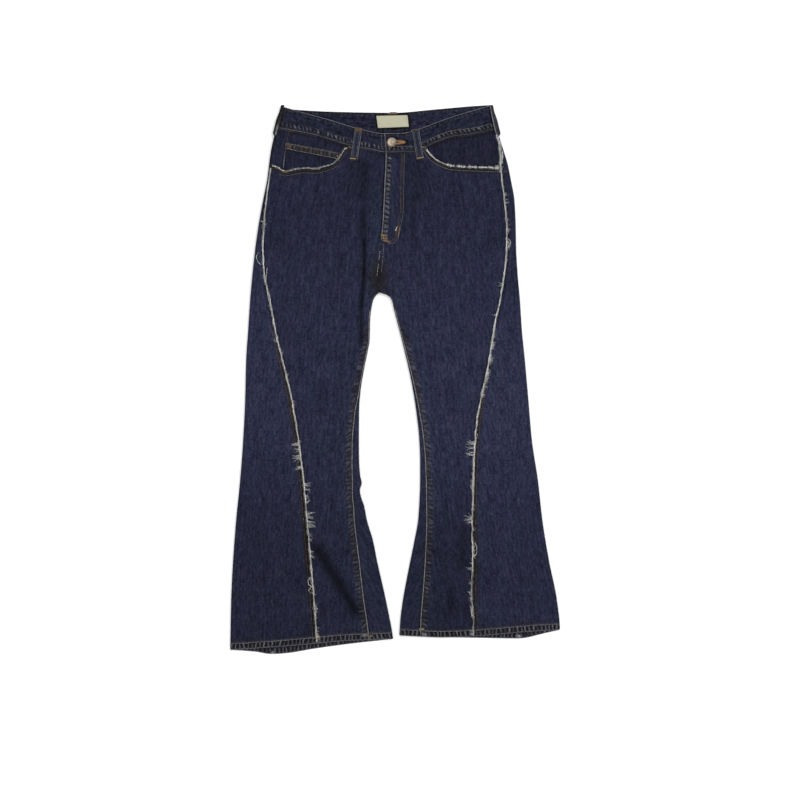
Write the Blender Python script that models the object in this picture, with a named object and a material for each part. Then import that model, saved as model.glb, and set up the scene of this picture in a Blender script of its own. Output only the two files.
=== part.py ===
"""Bootcut jeans lying flat on a surface with the fly up, each sewn piece a solid of its own.

Sizes are in millimetres until a point is placed. A place on the garment is given by x, its
distance across from the middle of the waist (plus is the wearer's left), and down, its
distance from the top of the waist. The world has +Y towards the waist and +Z up. The cloth
is a flattened tube: a section at any level runs over the front, round a fold of
FOLD_RADIUS at each side and back underneath, and every panel is a wall along part of it.
"""

import math
from collections import namedtuple

import bmesh
import bpy
from mathutils import Vector
from mathutils.bvhtree import BVHTree

MM = 0.001

# Cloth
CLOTH = 1.1
BAND_CLOTH = 2.2
GAP = 0.3
SEAM = GAP / 2 + 0.03
BACK_SEAM_GAP = 0.28
BAND_GAP = 0.75
CROTCH_GAP = 0.5
CROTCH_GAP_REACH = 8.0
FOLD_RADIUS = 3.0
FOLD_ARC = math.pi * FOLD_RADIUS / 2
FOLD_REACH = 13.0
FLAT_HEIGHT = 2 * CLOTH + GAP
BAND_HEIGHT = 2 * BAND_CLOTH + GAP
HEM_WIDTH = 12.0
HEM_CLOTH = 2 * CLOTH
HEM_HEIGHT = 2 * HEM_CLOTH + GAP
HEM_SLOPE = 32.0
LAP = CLOTH + GAP

# The seat is held up by the patch pockets and the belt loop that lie under it.
SEAT_LIFT = CLOTH + GAP
SEAT_END = 300.0
SEAT_FADE = 90.0

# Levels
UPPER_END = 130.0
CROTCH = 340.2
CURL_START = 296.0
SWELL_START = 248.0
SWELL_FULL = 304.0
LEG_LEVELS = (154, 180, 210, 240, 270, 300, 320, 332, CROTCH, 344, 351, 362, 380)
SHIN_START = 410
SHIN_END = 890
SHIN_STEP = 30

# One row for each level of a leg's outer side: the fold's place, how far the frayed front
# seam is from it over the front, and how far the back seam is from it underneath.
Outer = namedtuple("Outer", "down fold seam back_seam")
RIGHT_OUTER = (
    Outer(4, -203.0, 5.6, 24),
    Outer(44, -212.8, 5.6, 26),
    Outer(84, -222.3, 5.6, 28),
    Outer(138, -229.5, 5.6, 32),
    Outer(174, -236.7, 7.6, 34),
    Outer(219, -244.8, 11.2, 37),
    Outer(264, -251.1, 17.4, 40),
    Outer(309, -256.0, 25.1, 43),
    Outer(354, -260.1, 37.9, 46),
    Outer(408, -263.7, 51.4, 50),
    Outer(462, -267.3, 68.3, 53),
    Outer(534, -269.1, 87.3, 57),
    Outer(606, -272.7, 103.0, 61),
    Outer(678, -278.1, 117.2, 65),
    Outer(750, -285.3, 130.5, 68),
    Outer(822, -290.7, 141.7, 71),
    Outer(894, -294.3, 151.6, 74),
    Outer(992, -296.1, 160.5, 77),
)
LEFT_OUTER = (
    Outer(4, 176.0, 5.6, 22),
    Outer(44, 184.0, 5.6, 24),
    Outer(66, 190.8, 6.4, 25),
    Outer(84, 196.2, 8.8, 26),
    Outer(111, 204.3, 15.3, 28),
    Outer(138, 209.7, 18.3, 30),
    Outer(174, 216.0, 20.1, 32),
    Outer(219, 218.3, 18.5, 34),
    Outer(264, 219.2, 19.4, 36),
    Outer(309, 221.9, 26.5, 38),
    Outer(354, 225.9, 37.9, 40),
    Outer(408, 229.5, 52.9, 43),
    Outer(462, 234.9, 67.8, 45),
    Outer(534, 241.2, 90.9, 48),
    Outer(606, 247.5, 105.6, 51),
    Outer(678, 258.3, 119.5, 53),
    Outer(750, 266.4, 129.3, 55),
    Outer(822, 278.1, 139.7, 57),
    Outer(894, 292.5, 155.5, 59),
    Outer(948, 297.9, 157.8, 60),
    Outer(992, 297.9, 156.0, 60),
)

# The middle line, from the waist to the crotch.
Middle = namedtuple("Middle", "down x")
MIDDLE = (
    Middle(4, -15.3),
    Middle(88, -15.7),
    Middle(156, -18.5),
    Middle(215, -21.6),
    Middle(246, -24.7),
    Middle(285, -28.6),
    Middle(318, -29.2),
    Middle(CROTCH, -27.0),
)

# One row for each level of a leg's inner side below the crotch: the fold's place, and how
# far the inseam has come round it over the front.
Inner = namedtuple("Inner", "down fold inseam")
RIGHT_INNER = (
    Inner(CROTCH, -27.0, 2.0),
    Inner(347, -34.6, 2.0),
    Inner(361, -40.0, 2.0),
    Inner(390, -43.7, 2.0),
    Inner(426, -44.6, 2.0),
    Inner(444, -47.7, 2.0),
    Inner(480, -54.9, 2.2),
    Inner(516, -60.8, 2.7),
    Inner(552, -63.5, 7.2),
    Inner(606, -63.9, 12.2),
    Inner(642, -63.5, 13.0),
    Inner(678, -61.2, 15.0),
    Inner(714, -59.2, 16.2),
    Inner(750, -49.5, 22.9),
    Inner(786, -38.7, 29.8),
    Inner(822, -31.5, 32.6),
    Inner(894, -15.3, 40.3),
    Inner(966, -1.8, 44.1),
    Inner(992, 1.0, 45.0),
)
LEFT_INNER = (
    Inner(CROTCH, -27.0, 2.0),
    Inner(344, -15.3, 2.0),
    Inner(351, -6.3, 2.0),
    Inner(372, -0.9, 2.0),
    Inner(426, 13.1, 2.2),
    Inner(498, 29.7, 3.8),
    Inner(552, 38.7, 6.0),
    Inner(606, 44.5, 8.4),
    Inner(642, 45.9, 10.0),
    Inner(678, 45.9, 11.4),
    Inner(714, 44.8, 13.1),
    Inner(750, 42.3, 15.9),
    Inner(786, 35.8, 21.5),
    Inner(858, 21.4, 31.9),
    Inner(894, 14.9, 35.6),
    Inner(930, 10.3, 37.5),
    Inner(966, 8.1, 39.1),
    Inner(992, 7.0, 40.0),
)

# Lines across the garment.
Across = namedtuple("Across", "x down")
FRONT_BAND_TOP = (
    Across(-204, 5.0),
    Across(-160, 17.5),
    Across(-116, 29.5),
    Across(-71, 43.2),
    Across(-17, 53.8),
    Across(12, 53.6),
    Across(32, 50.0),
    Across(60, 39.8),
    Across(108, 22.5),
    Across(177, 2.4),
)
FRONT_BAND_SEAM = (
    Across(-214, 43.2),
    Across(-188, 47.7),
    Across(-143, 56.7),
    Across(-77, 76.1),
    Across(-44, 82.3),
    Across(-14, 88.0),
    Across(31, 87.3),
    Across(55, 78.7),
    Across(76, 68.8),
    Across(106, 59.0),
    Across(136, 55.3),
    Across(185, 45.0),
)
BACK_BAND_TOP = (
    Across(-204, 5.0),
    Across(-184, 10.4),
    Across(-98, 14.9),
    Across(-3, 16.4),
    Across(73, 10.4),
    Across(143, 4.3),
    Across(177, 2.4),
)
BACK_BAND_SEAM = (
    Across(-214, 43.2),
    Across(-184, 48.5),
    Across(-98, 53.0),
    Across(-3, 54.5),
    Across(73, 49.5),
    Across(143, 45.5),
    Across(185, 45.0),
)
YOKE_SEAM = (
    Across(-230, 84.0),
    Across(-120, 98.0),
    Across(-16, 120.0),
    Across(90, 98.0),
    Across(210, 84.0),
)
RIGHT_POCKET = (
    Across(-225, 111.0),
    Across(-212, 114.3),
    Across(-203, 119.7),
    Across(-194, 121.9),
    Across(-179, 118.8),
    Across(-161, 116.6),
    Across(-143, 117.4),
    Across(-128, 114.3),
    Across(-113, 109.3),
    Across(-103, 101.7),
    Across(-95, 91.3),
    Across(-89, 81.6),
    Across(-80, 77.8),
)
LEFT_POCKET = (
    Across(56, 79.2),
    Across(64, 91.3),
    Across(76, 101.7),
    Across(91, 109.3),
    Across(106, 113.0),
    Across(166, 115.7),
    Across(210, 117.0),
)
RIGHT_FRONT_HEM = (
    Across(-296, 983.7),
    Across(-246, 980.6),
    Across(-148, 972.9),
    Across(-89, 967.5),
    Across(0, 963.9),
)
RIGHT_BACK_HEM = (
    Across(-296, 983.7),
    Across(-249, 987.3),
    Across(-222, 991.4),
    Across(-197, 990.0),
    Across(-143, 981.4),
    Across(-84, 973.3),
    Across(0, 963.9),
)
LEFT_FRONT_HEM = (
    Across(7, 957.6),
    Across(46, 959.8),
    Across(85, 961.2),
    Across(142, 959.2),
    Across(244, 950.8),
    Across(298, 947.5),
)
LEFT_BACK_HEM = (
    Across(7, 957.6),
    Across(46, 959.8),
    Across(148, 962.1),
    Across(223, 963.2),
    Across(274, 953.1),
    Across(298, 947.5),
)

# The soft folds of the front, from one end to the other.
Fold = namedtuple("Fold", "x1 down1 x2 down2 height width")
FOLDS = (
    Fold(-47, 165, -47, 410, 2.6, 12),
    Fold(-142, 795, -66, 905, 3.0, 13),
    Fold(-98, 262, -96, 350, 1.6, 12),
    Fold(30, 165, 33, 290, 1.8, 13),
    Fold(106, 150, 108, 178, 1.4, 14),
    Fold(128, 745, 121, 850, 2.0, 13),
    Fold(104, 860, 98, 925, 1.6, 12),
)

# The fly: its folded edge on the left front is twice as thick.
FLY_END = 246.0
FLY_WIDTH = 34.0
FLY_RISE = CLOTH
FLY_FADE = 14.0

# Pockets
POCKET_UNDER = 12.0
POCKET_LAP = 24.0
POCKET_FADE = 24.0
RIGHT_POCKET_END = -78.0
LEFT_POCKET_END = 55.0
POCKET_END_FADE = 48.0
POCKET_END_EASE = 22.0
COIN_OUTER = -196.0
COIN_INNER = -98.0
COIN_TOP_OUTER = 69.5
COIN_TOP_INNER = 88.5
COIN_UNDER = 9.0
COIN_END_FADE = 44.0
COIN_END_EASE = 18.0
BACK_POCKET_WIDTH = 148.0
BACK_POCKET_SIDE = 128.0
BACK_POCKET_POINT = 156.0
BACK_POCKET_TOP = 134.0
BACK_POCKET_FROM_MIDDLE = 34.0
BACK_POCKET_TILT = math.radians(4)

# Waistband ends at the fly: the left lies on the right.
UNDERLAP_END = 8.0
FLY_EDGE = -18.4
BAND_STEP_END = 13.0
BAND_STEP_FADE = 24.0

# Belt loops, button and label
Strap = namedtuple("Strap", "x1 down1 x2 down2")
FRONT_LOOPS = {
    "loop_front_right": Strap(-64.4, 43.5, -72.6, 100.0),
    "loop_front_left": Strap(37.6, 46.5, 46.2, 100.0),
}
LOOP_WIDTH = 12.6
LOOP_CLOTH = 1.2
LOOP_ARCH = 1.4
LOOP_STATIONS = 10
SIDE_LOOP_TOP = 3.2
SIDE_LOOP_END = 58.0
SIDE_LOOP_UNDER = 1.8
SIDE_LOOP_OVER = 6.5
SIDE_LOOP_GAP = 0.45
BACK_LOOP_TOP = 15.0
BACK_LOOP_END = 66.0
BUTTON_X = -4.6
BUTTON_DOWN = 70.4
BUTTON_RADIUS = 8.4
BUTTON_HEIGHT = 3.6
BUTTON_SIDES = 24
LABEL_CORNERS = ((-32.8, 22.1), (24.3, 20.7), (27.9, 41.8), (-29.7, 44.1))
LABEL_CLOTH = 1.0

# Frayed edges: a narrow strip with locks along it. A row gives a stretch of the edge, the
# side that its locks point to (out is towards the outer fold or up), and their length.
FRAY_WIDTH = 3.0
FRAY_CLOTH = 1.0
FRAY_CLEAR = 0.45
FRAY_STATION = 13.0
LOCK_TIP = 0.32
Fray = namedtuple("Fray", "start end side length")
RIGHT_SEAM_FRAY = (
    Fray(120, 300, "out", 4.5),
    Fray(330, 420, "out", 2.5),
    Fray(430, 465, "in", 4.0),
    Fray(480, 560, "out", 2.5),
    Fray(610, 662, "out", 12.0),
    Fray(684, 722, "in", 6.5),
    Fray(730, 768, "in", 13.0),
    Fray(772, 822, "in", 7.5),
    Fray(850, 884, "out", 7.0),
    Fray(898, 930, "in", 7.0),
)
LEFT_SEAM_FRAY = (
    Fray(56, 150, "out", 3.5),
    Fray(150, 264, "out", 6.0),
    Fray(270, 330, "in", 2.5),
    Fray(374, 400, "out", 3.0),
    Fray(405, 540, "out", 5.5),
    Fray(604, 642, "in", 13.0),
    Fray(660, 704, "in", 6.0),
    Fray(740, 765, "in", 14.0),
    Fray(800, 815, "out", 8.0),
    Fray(830, 900, "in", 6.0),
    Fray(935, 962, "in", 7.0),
)
POCKET_FRAY_STATION = 7.0
POCKET_LOCK = 2.6


def smooth(rows, at, key, value):
    """The value of a table's column at a place between its rows, on a curve with no overshoot."""
    if at <= getattr(rows[0], key):
        return getattr(rows[0], value)
    if at >= getattr(rows[-1], key):
        return getattr(rows[-1], value)
    places = [getattr(row, key) for row in rows]
    values = [getattr(row, value) for row in rows]
    index = max(i for i in range(len(rows) - 1) if places[i] <= at)

    def rise(i):
        return (values[i + 1] - values[i]) / (places[i + 1] - places[i])

    def slope(i):
        if i == 0:
            return rise(0)
        if i == len(rows) - 1:
            return rise(i - 1)
        before, after = rise(i - 1), rise(i)
        if before * after <= 0:
            return 0.0
        return 2 * before * after / (before + after)

    step = places[index + 1] - places[index]
    t = (at - places[index]) / step
    start, end = values[index], values[index + 1]
    return (
        start * (1 + 2 * t) * (1 - t) ** 2
        + end * t * t * (3 - 2 * t)
        + step * slope(index) * t * (1 - t) ** 2
        - step * slope(index + 1) * t * t * (1 - t)
    )


def across(line, x):
    return smooth(line, x, "x", "down")


def ease(t):
    """0 below 0, 1 above 1 and a soft step between."""
    t = min(max(t, 0.0), 1.0)
    return t * t * (3 - 2 * t)


def lerp(a, b, t):
    return a + (b - a) * t


Leg = namedtuple(
    "Leg",
    "name side outer inner pocket pocket_end front_hem back_hem",
)
RIGHT = Leg(
    "right", -1, RIGHT_OUTER, RIGHT_INNER, RIGHT_POCKET, RIGHT_POCKET_END,
    RIGHT_FRONT_HEM, RIGHT_BACK_HEM,
)
LEFT = Leg(
    "left", 1, LEFT_OUTER, LEFT_INNER, LEFT_POCKET, LEFT_POCKET_END,
    LEFT_FRONT_HEM, LEFT_BACK_HEM,
)

WIDEST_RIGHT = min(row.fold for row in RIGHT_OUTER)
WIDEST_LEFT = max(row.fold for row in LEFT_OUTER)
HIGHEST = min(row.down for row in FRONT_BAND_TOP)
LOWEST = max(row.down for row in RIGHT_BACK_HEM)
ORIGIN_X = (WIDEST_RIGHT + WIDEST_LEFT) / 2
ORIGIN_DOWN = (HIGHEST + LOWEST) / 2


def place(x, down, z):
    """The world point of a place on the garment."""
    return Vector(((x - ORIGIN_X) * MM, (ORIGIN_DOWN - down) * MM, z * MM))


def outer_fold(leg, down):
    return smooth(leg.outer, down, "down", "fold")


def inner_edge(leg, down):
    """The middle line above the crotch and the leg's inner fold below it."""
    if down <= CROTCH:
        return smooth(MIDDLE, down, "down", "x") + leg.side * SEAM
    return smooth(leg.inner, down, "down", "fold") + leg.side * SEAM


def seam_at(leg, down):
    return smooth(leg.outer, down, "down", "seam")


def back_seam_at(leg, down):
    return smooth(leg.outer, down, "down", "back_seam")


def inseam_at(leg, down):
    return smooth(leg.inner, down, "down", "inseam")


def curl(down):
    """How far the inner edge has turned into a fold: 0 is flat, 1 a full quarter turn."""
    return ease((down - CURL_START) / (CROTCH - CURL_START))


def lift(down):
    return SEAT_LIFT * (1 - ease((down - SEAT_END) / SEAT_FADE))


def fold_swell(distance):
    """The share of a fold's extra height at a distance from it."""
    return math.exp(-((max(distance, 0.0) / FOLD_REACH) ** 2))


def folds_height(x, down):
    total = 0.0
    for fold in FOLDS:
        run_x, run_down = fold.x2 - fold.x1, fold.down2 - fold.down1
        length = math.hypot(run_x, run_down)
        along = ((x - fold.x1) * run_x + (down - fold.down1) * run_down) / length
        off = abs((x - fold.x1) * run_down - (down - fold.down1) * run_x) / length
        ends = ease(along / (length * 0.25)) * ease((length - along) / (length * 0.25))
        total += fold.height * ends * math.exp(-((off / fold.width) ** 2))
    return total


def rest_height(leg, down, hem):
    """The height of the front's outer face where it lies on the back."""
    near_hem = ease((down - (hem - HEM_WIDTH - HEM_SLOPE)) / HEM_SLOPE)
    return lerp(FLAT_HEIGHT, HEM_HEIGHT, near_hem)


def front_height(leg, x, down, rest):
    """The front's outer face above the lift: it swells at both folds and at the creases."""
    full = 2 * FOLD_RADIUS
    turn = curl(down)
    reach = inner_reach(turn)
    outside = fold_swell(abs(x - outer_fold(leg, down)) - FOLD_RADIUS)
    inside = fold_swell(abs(inner_edge(leg, down) - x) - reach)
    inside *= ease((down - SWELL_START) / (SWELL_FULL - SWELL_START))
    swell = max(outside, inside)
    creases = folds_height(x, down) * (1 - outside) * (1 - inside)
    return rest + (full - rest) * swell + creases


def inner_reach(turn):
    """How far across the curled inner edge reaches."""
    if turn < 1e-6:
        return FOLD_ARC
    return FOLD_RADIUS / turn * math.sin(turn * math.pi / 2)


def section_length(leg, down):
    """The path from the outer fold over the front to the inner edge."""
    width = abs(inner_edge(leg, down) - outer_fold(leg, down))
    return 2 * FOLD_ARC + width - FOLD_RADIUS - inner_reach(curl(down))


def section(leg, down, path, rest=FLAT_HEIGHT):
    """x, z and the outward direction at a path length from the outer fold.

    A positive path runs over the front and a negative one underneath, and a path past the
    inner fold comes round it to the front again.
    """
    length = section_length(leg, down)
    run = abs(path)
    on_front = path >= 0
    if run > length:
        run = 2 * length - run
        on_front = not on_front
    inward = -leg.side
    fold = outer_fold(leg, down)
    up = 1 if on_front else -1
    if run < FOLD_ARC:
        angle = run / FOLD_RADIUS
        x = fold + inward * FOLD_RADIUS * (1 - math.cos(angle))
        z = FOLD_RADIUS + up * FOLD_RADIUS * math.sin(angle)
        return x, z, -inward * math.cos(angle), up * math.sin(angle)
    if run <= length - FOLD_ARC:
        x = fold + inward * (FOLD_RADIUS + run - FOLD_ARC)
        if not on_front:
            return x, 0.0, 0.0, -1.0
        step = 1.5
        z = front_height(leg, x, down, rest)
        slope = (front_height(leg, x + step, down, rest) - z) / step
        size = math.hypot(slope, 1)
        return x, z, -slope / size, 1 / size
    turn = max(curl(down), 1e-6)
    angle = turn * (run - (length - FOLD_ARC)) / FOLD_RADIUS
    start = inner_edge(leg, down) - inward * inner_reach(turn)
    x = start + inward * FOLD_RADIUS / turn * math.sin(angle)
    bend = FOLD_RADIUS / turn * (1 - math.cos(angle))
    top = front_height(leg, start, down, rest)
    z = top - bend if on_front else bend
    return x, z, inward * math.sin(angle), up * math.cos(angle)


def graded(total, first, count):
    """Distances from 0 to total in cells that start at the first size and grow evenly."""
    first = min(first, total / count)
    low, high = 1.0, 6.0
    for _ in range(40):
        ratio = (low + high) / 2
        if sum(first * ratio**i for i in range(count)) < total:
            low = ratio
        else:
            high = ratio
    cells = [first * low**i for i in range(count)]
    scale = total / sum(cells)
    places = [0.0]
    for cell in cells:
        places.append(places[-1] + cell * scale)
    return places


def evenly(start, end, count):
    return [lerp(start, end, i / count) for i in range(1, count)]


def make_material(name, colour, roughness, metallic=0.0):
    material = bpy.data.materials.new(name)
    material.use_nodes = True
    shader = material.node_tree.nodes["Principled BSDF"]
    shader.inputs["Base Color"].default_value = (*colour, 1.0)
    shader.inputs["Roughness"].default_value = roughness
    shader.inputs["Metallic"].default_value = metallic
    return material


def make_object(name, bm, material):
    bmesh.ops.recalc_face_normals(bm, faces=bm.faces[:])
    mesh = bpy.data.meshes.new(name)
    bm.to_mesh(mesh)
    bm.free()
    mesh.materials.append(material)
    result = bpy.data.objects.new(name, mesh)
    bpy.context.scene.collection.objects.link(result)
    return result


def outward(grid, r, c):
    """The way out of a wall at a grid point: square to its section and to its column."""
    point, out, _ = grid[r][c]
    above = grid[r - 1][c] if r > 0 else None
    below = grid[r + 1][c] if r + 1 < len(grid) else None
    start = above[0] if above else point
    end = below[0] if below else point
    along_section = Vector((out.z, 0, -out.x))
    normal = along_section.cross(end - start).normalized()
    return normal if normal.dot(out) > 0 else -normal


def make_wall(name, grid, material):
    """A closed wall from rows of (point, outward, thickness), with None where there is none."""
    bm = bmesh.new()
    outside = [[cell and bm.verts.new(cell[0]) for cell in row] for row in grid]
    inside = []
    for r, row in enumerate(grid):
        depths = [cell and outward(grid, r, c) * cell[2] * MM for c, cell in enumerate(row)]
        inside.append([cell and bm.verts.new(cell[0] - d) for cell, d in zip(row, depths)])
    edges = {}
    for r in range(len(grid) - 1):
        for c in range(len(grid[r]) - 1):
            corners = [(r, c), (r + 1, c), (r + 1, c + 1), (r, c + 1)]
            if any(grid[i][j] is None for i, j in corners):
                continue
            for triangle in ((0, 1, 2), (0, 2, 3)):
                keys = [corners[i] for i in triangle]
                bm.faces.new([outside[i][j] for i, j in keys])
                bm.faces.new([inside[i][j] for i, j in reversed(keys)])
                for a, b in zip(keys, keys[1:] + keys[:1]):
                    edges.setdefault(frozenset((a, b)), []).append((a, b))
    for uses in edges.values():
        if len(uses) == 1:
            (r1, c1), (r2, c2) = uses[0]
            bm.faces.new((outside[r2][c2], outside[r1][c1], inside[r1][c1]))
            bm.faces.new((outside[r2][c2], inside[r1][c1], inside[r2][c2]))
    return make_object(name, bm, material)


Level = namedtuple("Level", "kind value")


def levels(upper):
    """The rows of a panel from its top edge to its hem, the same on every piece of a leg."""
    rows = [Level("upper", i / upper) for i in range(upper)]
    rows.append(Level("at", UPPER_END))
    rows += [Level("at", down) for down in LEG_LEVELS]
    rows += [Level("at", down) for down in range(SHIN_START, SHIN_END + 1, SHIN_STEP)]
    rows += [Level("lower", 0.5), Level("hem", HEM_WIDTH + 1.5), Level("hem", HEM_WIDTH)]
    rows.append(Level("hem", 0.0))
    return rows


def level_down(level, top, hem):
    if level.kind == "upper":
        return lerp(top, UPPER_END, level.value)
    if level.kind == "at":
        return level.value
    if level.kind == "lower":
        return lerp(SHIN_END, hem - HEM_WIDTH - 1.5, level.value)
    return hem - level.value


def panel_cell(leg, level, path_at, top_line, rise=None):
    """One point of a panel: its level and its place across depend on each other."""
    down = level_down(level, 60.0, across(leg.front_hem, leg.side * 150))
    hem = 0.0
    for _ in range(6):
        path = path_at(down)
        length = section_length(leg, down)
        x = section(leg, down, path)[0]
        on_front = (path >= 0) == (abs(path) <= length)
        hem = across(leg.front_hem if on_front else leg.back_hem, x)
        down = level_down(level, top_line(x, on_front), hem)
    path = path_at(down)
    rest = rest_height(leg, down, across(leg.front_hem, x))
    x, z, out_x, out_z = section(leg, down, path, rest)
    cloth = HEM_CLOTH if level.kind == "hem" and level.value <= HEM_WIDTH else CLOTH
    if rise:
        extra, thicker = rise(x, down)
        z += extra
        cloth += thicker
    return place(x, down, z + lift(down)), Vector((out_x, 0, out_z)), cloth


def front_top(leg):
    """The top edge of a front panel: the waistband's seam, then the pocket's mouth."""

    def line(x, on_front=True):
        past_pocket = (x - leg.pocket_end) * leg.side > 0
        band = across(FRONT_BAND_SEAM, x) + BAND_GAP
        return max(across(leg.pocket, x), band) if past_pocket else band

    return line


def front_rise(leg):
    """The front panel's extra height over its pocket's layers, and along the fly."""
    top = front_top(leg)

    def rise(x, down):
        into_pocket = (x - leg.pocket_end) * leg.side
        below = down - top(x)
        lapped = 1 - ease((below - POCKET_LAP) / POCKET_FADE)
        height = LAP * lapped * ease((into_pocket + POCKET_END_FADE) / POCKET_END_EASE)
        if leg is RIGHT:
            into_coin = (x - COIN_INNER) * leg.side
            past_coin = (COIN_OUTER - x) / COIN_END_EASE - 1.1
            coin = ease((into_coin + COIN_END_FADE) / COIN_END_EASE)
            height += LAP * lapped * coin * (1 - ease(past_coin))
            return height, 0.0
        from_edge = x - smooth(MIDDLE, min(down, CROTCH), "down", "x")
        bottom = FLY_END - FLY_WIDTH * 0.6 * (from_edge / FLY_WIDTH) ** 2
        across_fly = 1 - ease((from_edge - FLY_WIDTH) / FLY_FADE)
        fly = across_fly * (1 - ease((down - bottom) / FLY_FADE))
        return height + FLY_RISE * fly, FLY_RISE * fly

    return rise


def front_columns(leg):
    """Functions for a front panel's columns, from the frayed seam to the inseam."""
    near = (0.0, 9.0, 20.0)
    far = (14.0, 6.0, 2.4, 0.0)

    def start(down):
        return seam_at(leg, down) + SEAM

    def end(down):
        if down < CROTCH:
            return section_length(leg, down)
        gap = SEAM + CROTCH_GAP * (1 - ease((down - CROTCH) / CROTCH_GAP_REACH))
        return section_length(leg, down) - inseam_at(leg, down) - gap

    columns = [lambda down, d=d: start(down) + d for d in near]
    for share in evenly(0.0, 1.0, 5):
        columns.append(lambda down, s=share: lerp(start(down) + near[-1], end(down) - far[0], s))
    columns += [lambda down, d=d: end(down) - d for d in far]
    return columns


def build_front(leg, material):
    columns = front_columns(leg)
    top = front_top(leg)
    rise = front_rise(leg)
    grid = [
        [panel_cell(leg, level, column, top, rise) for column in columns] for level in levels(2)
    ]
    return make_wall(f"front_{leg.name}", grid, material)


def build_side(leg, material):
    """From the frayed seam round the outer fold to the back seam."""
    over, under = 6, 3

    def column(i):
        if i <= over:
            return lambda down: graded(seam_at(leg, down) - SEAM, FOLD_ARC / 2, over)[over - i]
        return lambda down: -graded(back_seam_at(leg, down), FOLD_ARC / 2, under)[i - over]

    def top(x, on_front):
        return across(FRONT_BAND_SEAM if on_front else BACK_BAND_SEAM, x) + BAND_GAP

    columns = [column(i) for i in range(over + under + 1)]
    grid = [[panel_cell(leg, level, path, top) for path in columns] for level in levels(3)]
    return make_wall(f"side_{leg.name}", grid, material)


def back_columns(leg):
    """Functions for the columns under the leg, from the back seam to its inner edge."""
    far = (15.0, FOLD_ARC + 1.5, FOLD_ARC / 2, 0.0)

    def start(down):
        return back_seam_at(leg, down) + 2 * BACK_SEAM_GAP

    def end(down):
        return section_length(leg, down)

    columns = [lambda down: -start(down)]
    for share in evenly(0.0, 1.0, 4):
        columns.append(lambda down, s=share: -lerp(start(down), end(down) - far[0], s))
    return columns + [lambda down, d=d: -(end(down) - d) for d in far]


def build_back(leg, material):
    """From the back seam to the inner fold, and below the crotch round it to the inseam."""
    wrap = 4
    columns = back_columns(leg)
    body = len(columns)
    for i in range(1, wrap + 1):
        columns.append(
            lambda down, i=i: -section_length(leg, down)
            - graded(inseam_at(leg, down) - SEAM, FOLD_ARC / 2, wrap)[i]
        )

    def top(x, on_front):
        return across(YOKE_SEAM, x) + SEAM

    grid = []
    for level in levels(1):
        above_crotch = level.kind == "upper" or (level.kind == "at" and level.value < CROTCH)
        grid.append(
            [
                None if above_crotch and c >= body else panel_cell(leg, level, path, top)
                for c, path in enumerate(columns)
            ]
        )
    return make_wall(f"back_{leg.name}", grid, material)


def build_yoke(leg, material):
    """Between the waistband and the back panel, under the seat."""
    rows = 2
    grid = []
    for r in range(rows + 1):
        row = []
        for column in back_columns(leg):
            down = 80.0
            for _ in range(6):
                x = section(leg, down, column(down))[0]
                top = across(BACK_BAND_SEAM, x) + BAND_GAP
                down = lerp(top, across(YOKE_SEAM, x) - SEAM, r / rows)
            row.append((place(x, down, lift(down)), Vector((0, 0, -1)), CLOTH))
        grid.append(row)
    return make_wall(f"yoke_{leg.name}", grid, material)


def build_facing(leg, material):
    """The cloth inside the pocket's mouth: it runs on under the front panel."""
    rows = 3
    near = (0.0, 9.0, 20.0)
    grid = []
    for r in range(rows + 1):
        row = []
        for c in range(len(near) + 6):
            down = 80.0
            for _ in range(8):
                start = seam_at(leg, down) + SEAM
                middle = smooth(MIDDLE, down, "down", "x")
                end = section_length(leg, down) - abs(leg.pocket_end - middle)
                if c < len(near):
                    path = start + near[c]
                else:
                    path = lerp(start + near[-1], end, (c - len(near) + 1) / 6)
                x, z, out_x, out_z = section(leg, down, path)
                top = across(FRONT_BAND_SEAM, x) + BAND_GAP
                bottom = max(across(leg.pocket, x), top) + POCKET_UNDER
                down = lerp(top, bottom, r / rows)
            row.append((place(x, down, z + lift(down)), Vector((out_x, 0, out_z)), CLOTH))
        grid.append(row)
    return make_wall(f"facing_{leg.name}", grid, material)


def build_coin_pocket(material):
    """A patch on the right facing whose lower end is inside the pocket's mouth."""
    columns, rows = 6, 2
    grid = []
    for r in range(rows + 1):
        row = []
        for c in range(columns + 1):
            x = lerp(COIN_OUTER, COIN_INNER, c / columns)
            top = lerp(COIN_TOP_OUTER, COIN_TOP_INNER, c / columns)
            bottom = across(RIGHT_POCKET, x) + COIN_UNDER
            down = lerp(top, bottom, r / rows)
            z = front_height(RIGHT, x, down, FLAT_HEIGHT) + LAP + lift(down)
            row.append((place(x, down, z), Vector((0, 0, 1)), CLOTH))
        grid.append(row)
    return make_wall("coin_pocket", grid, material)


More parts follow.
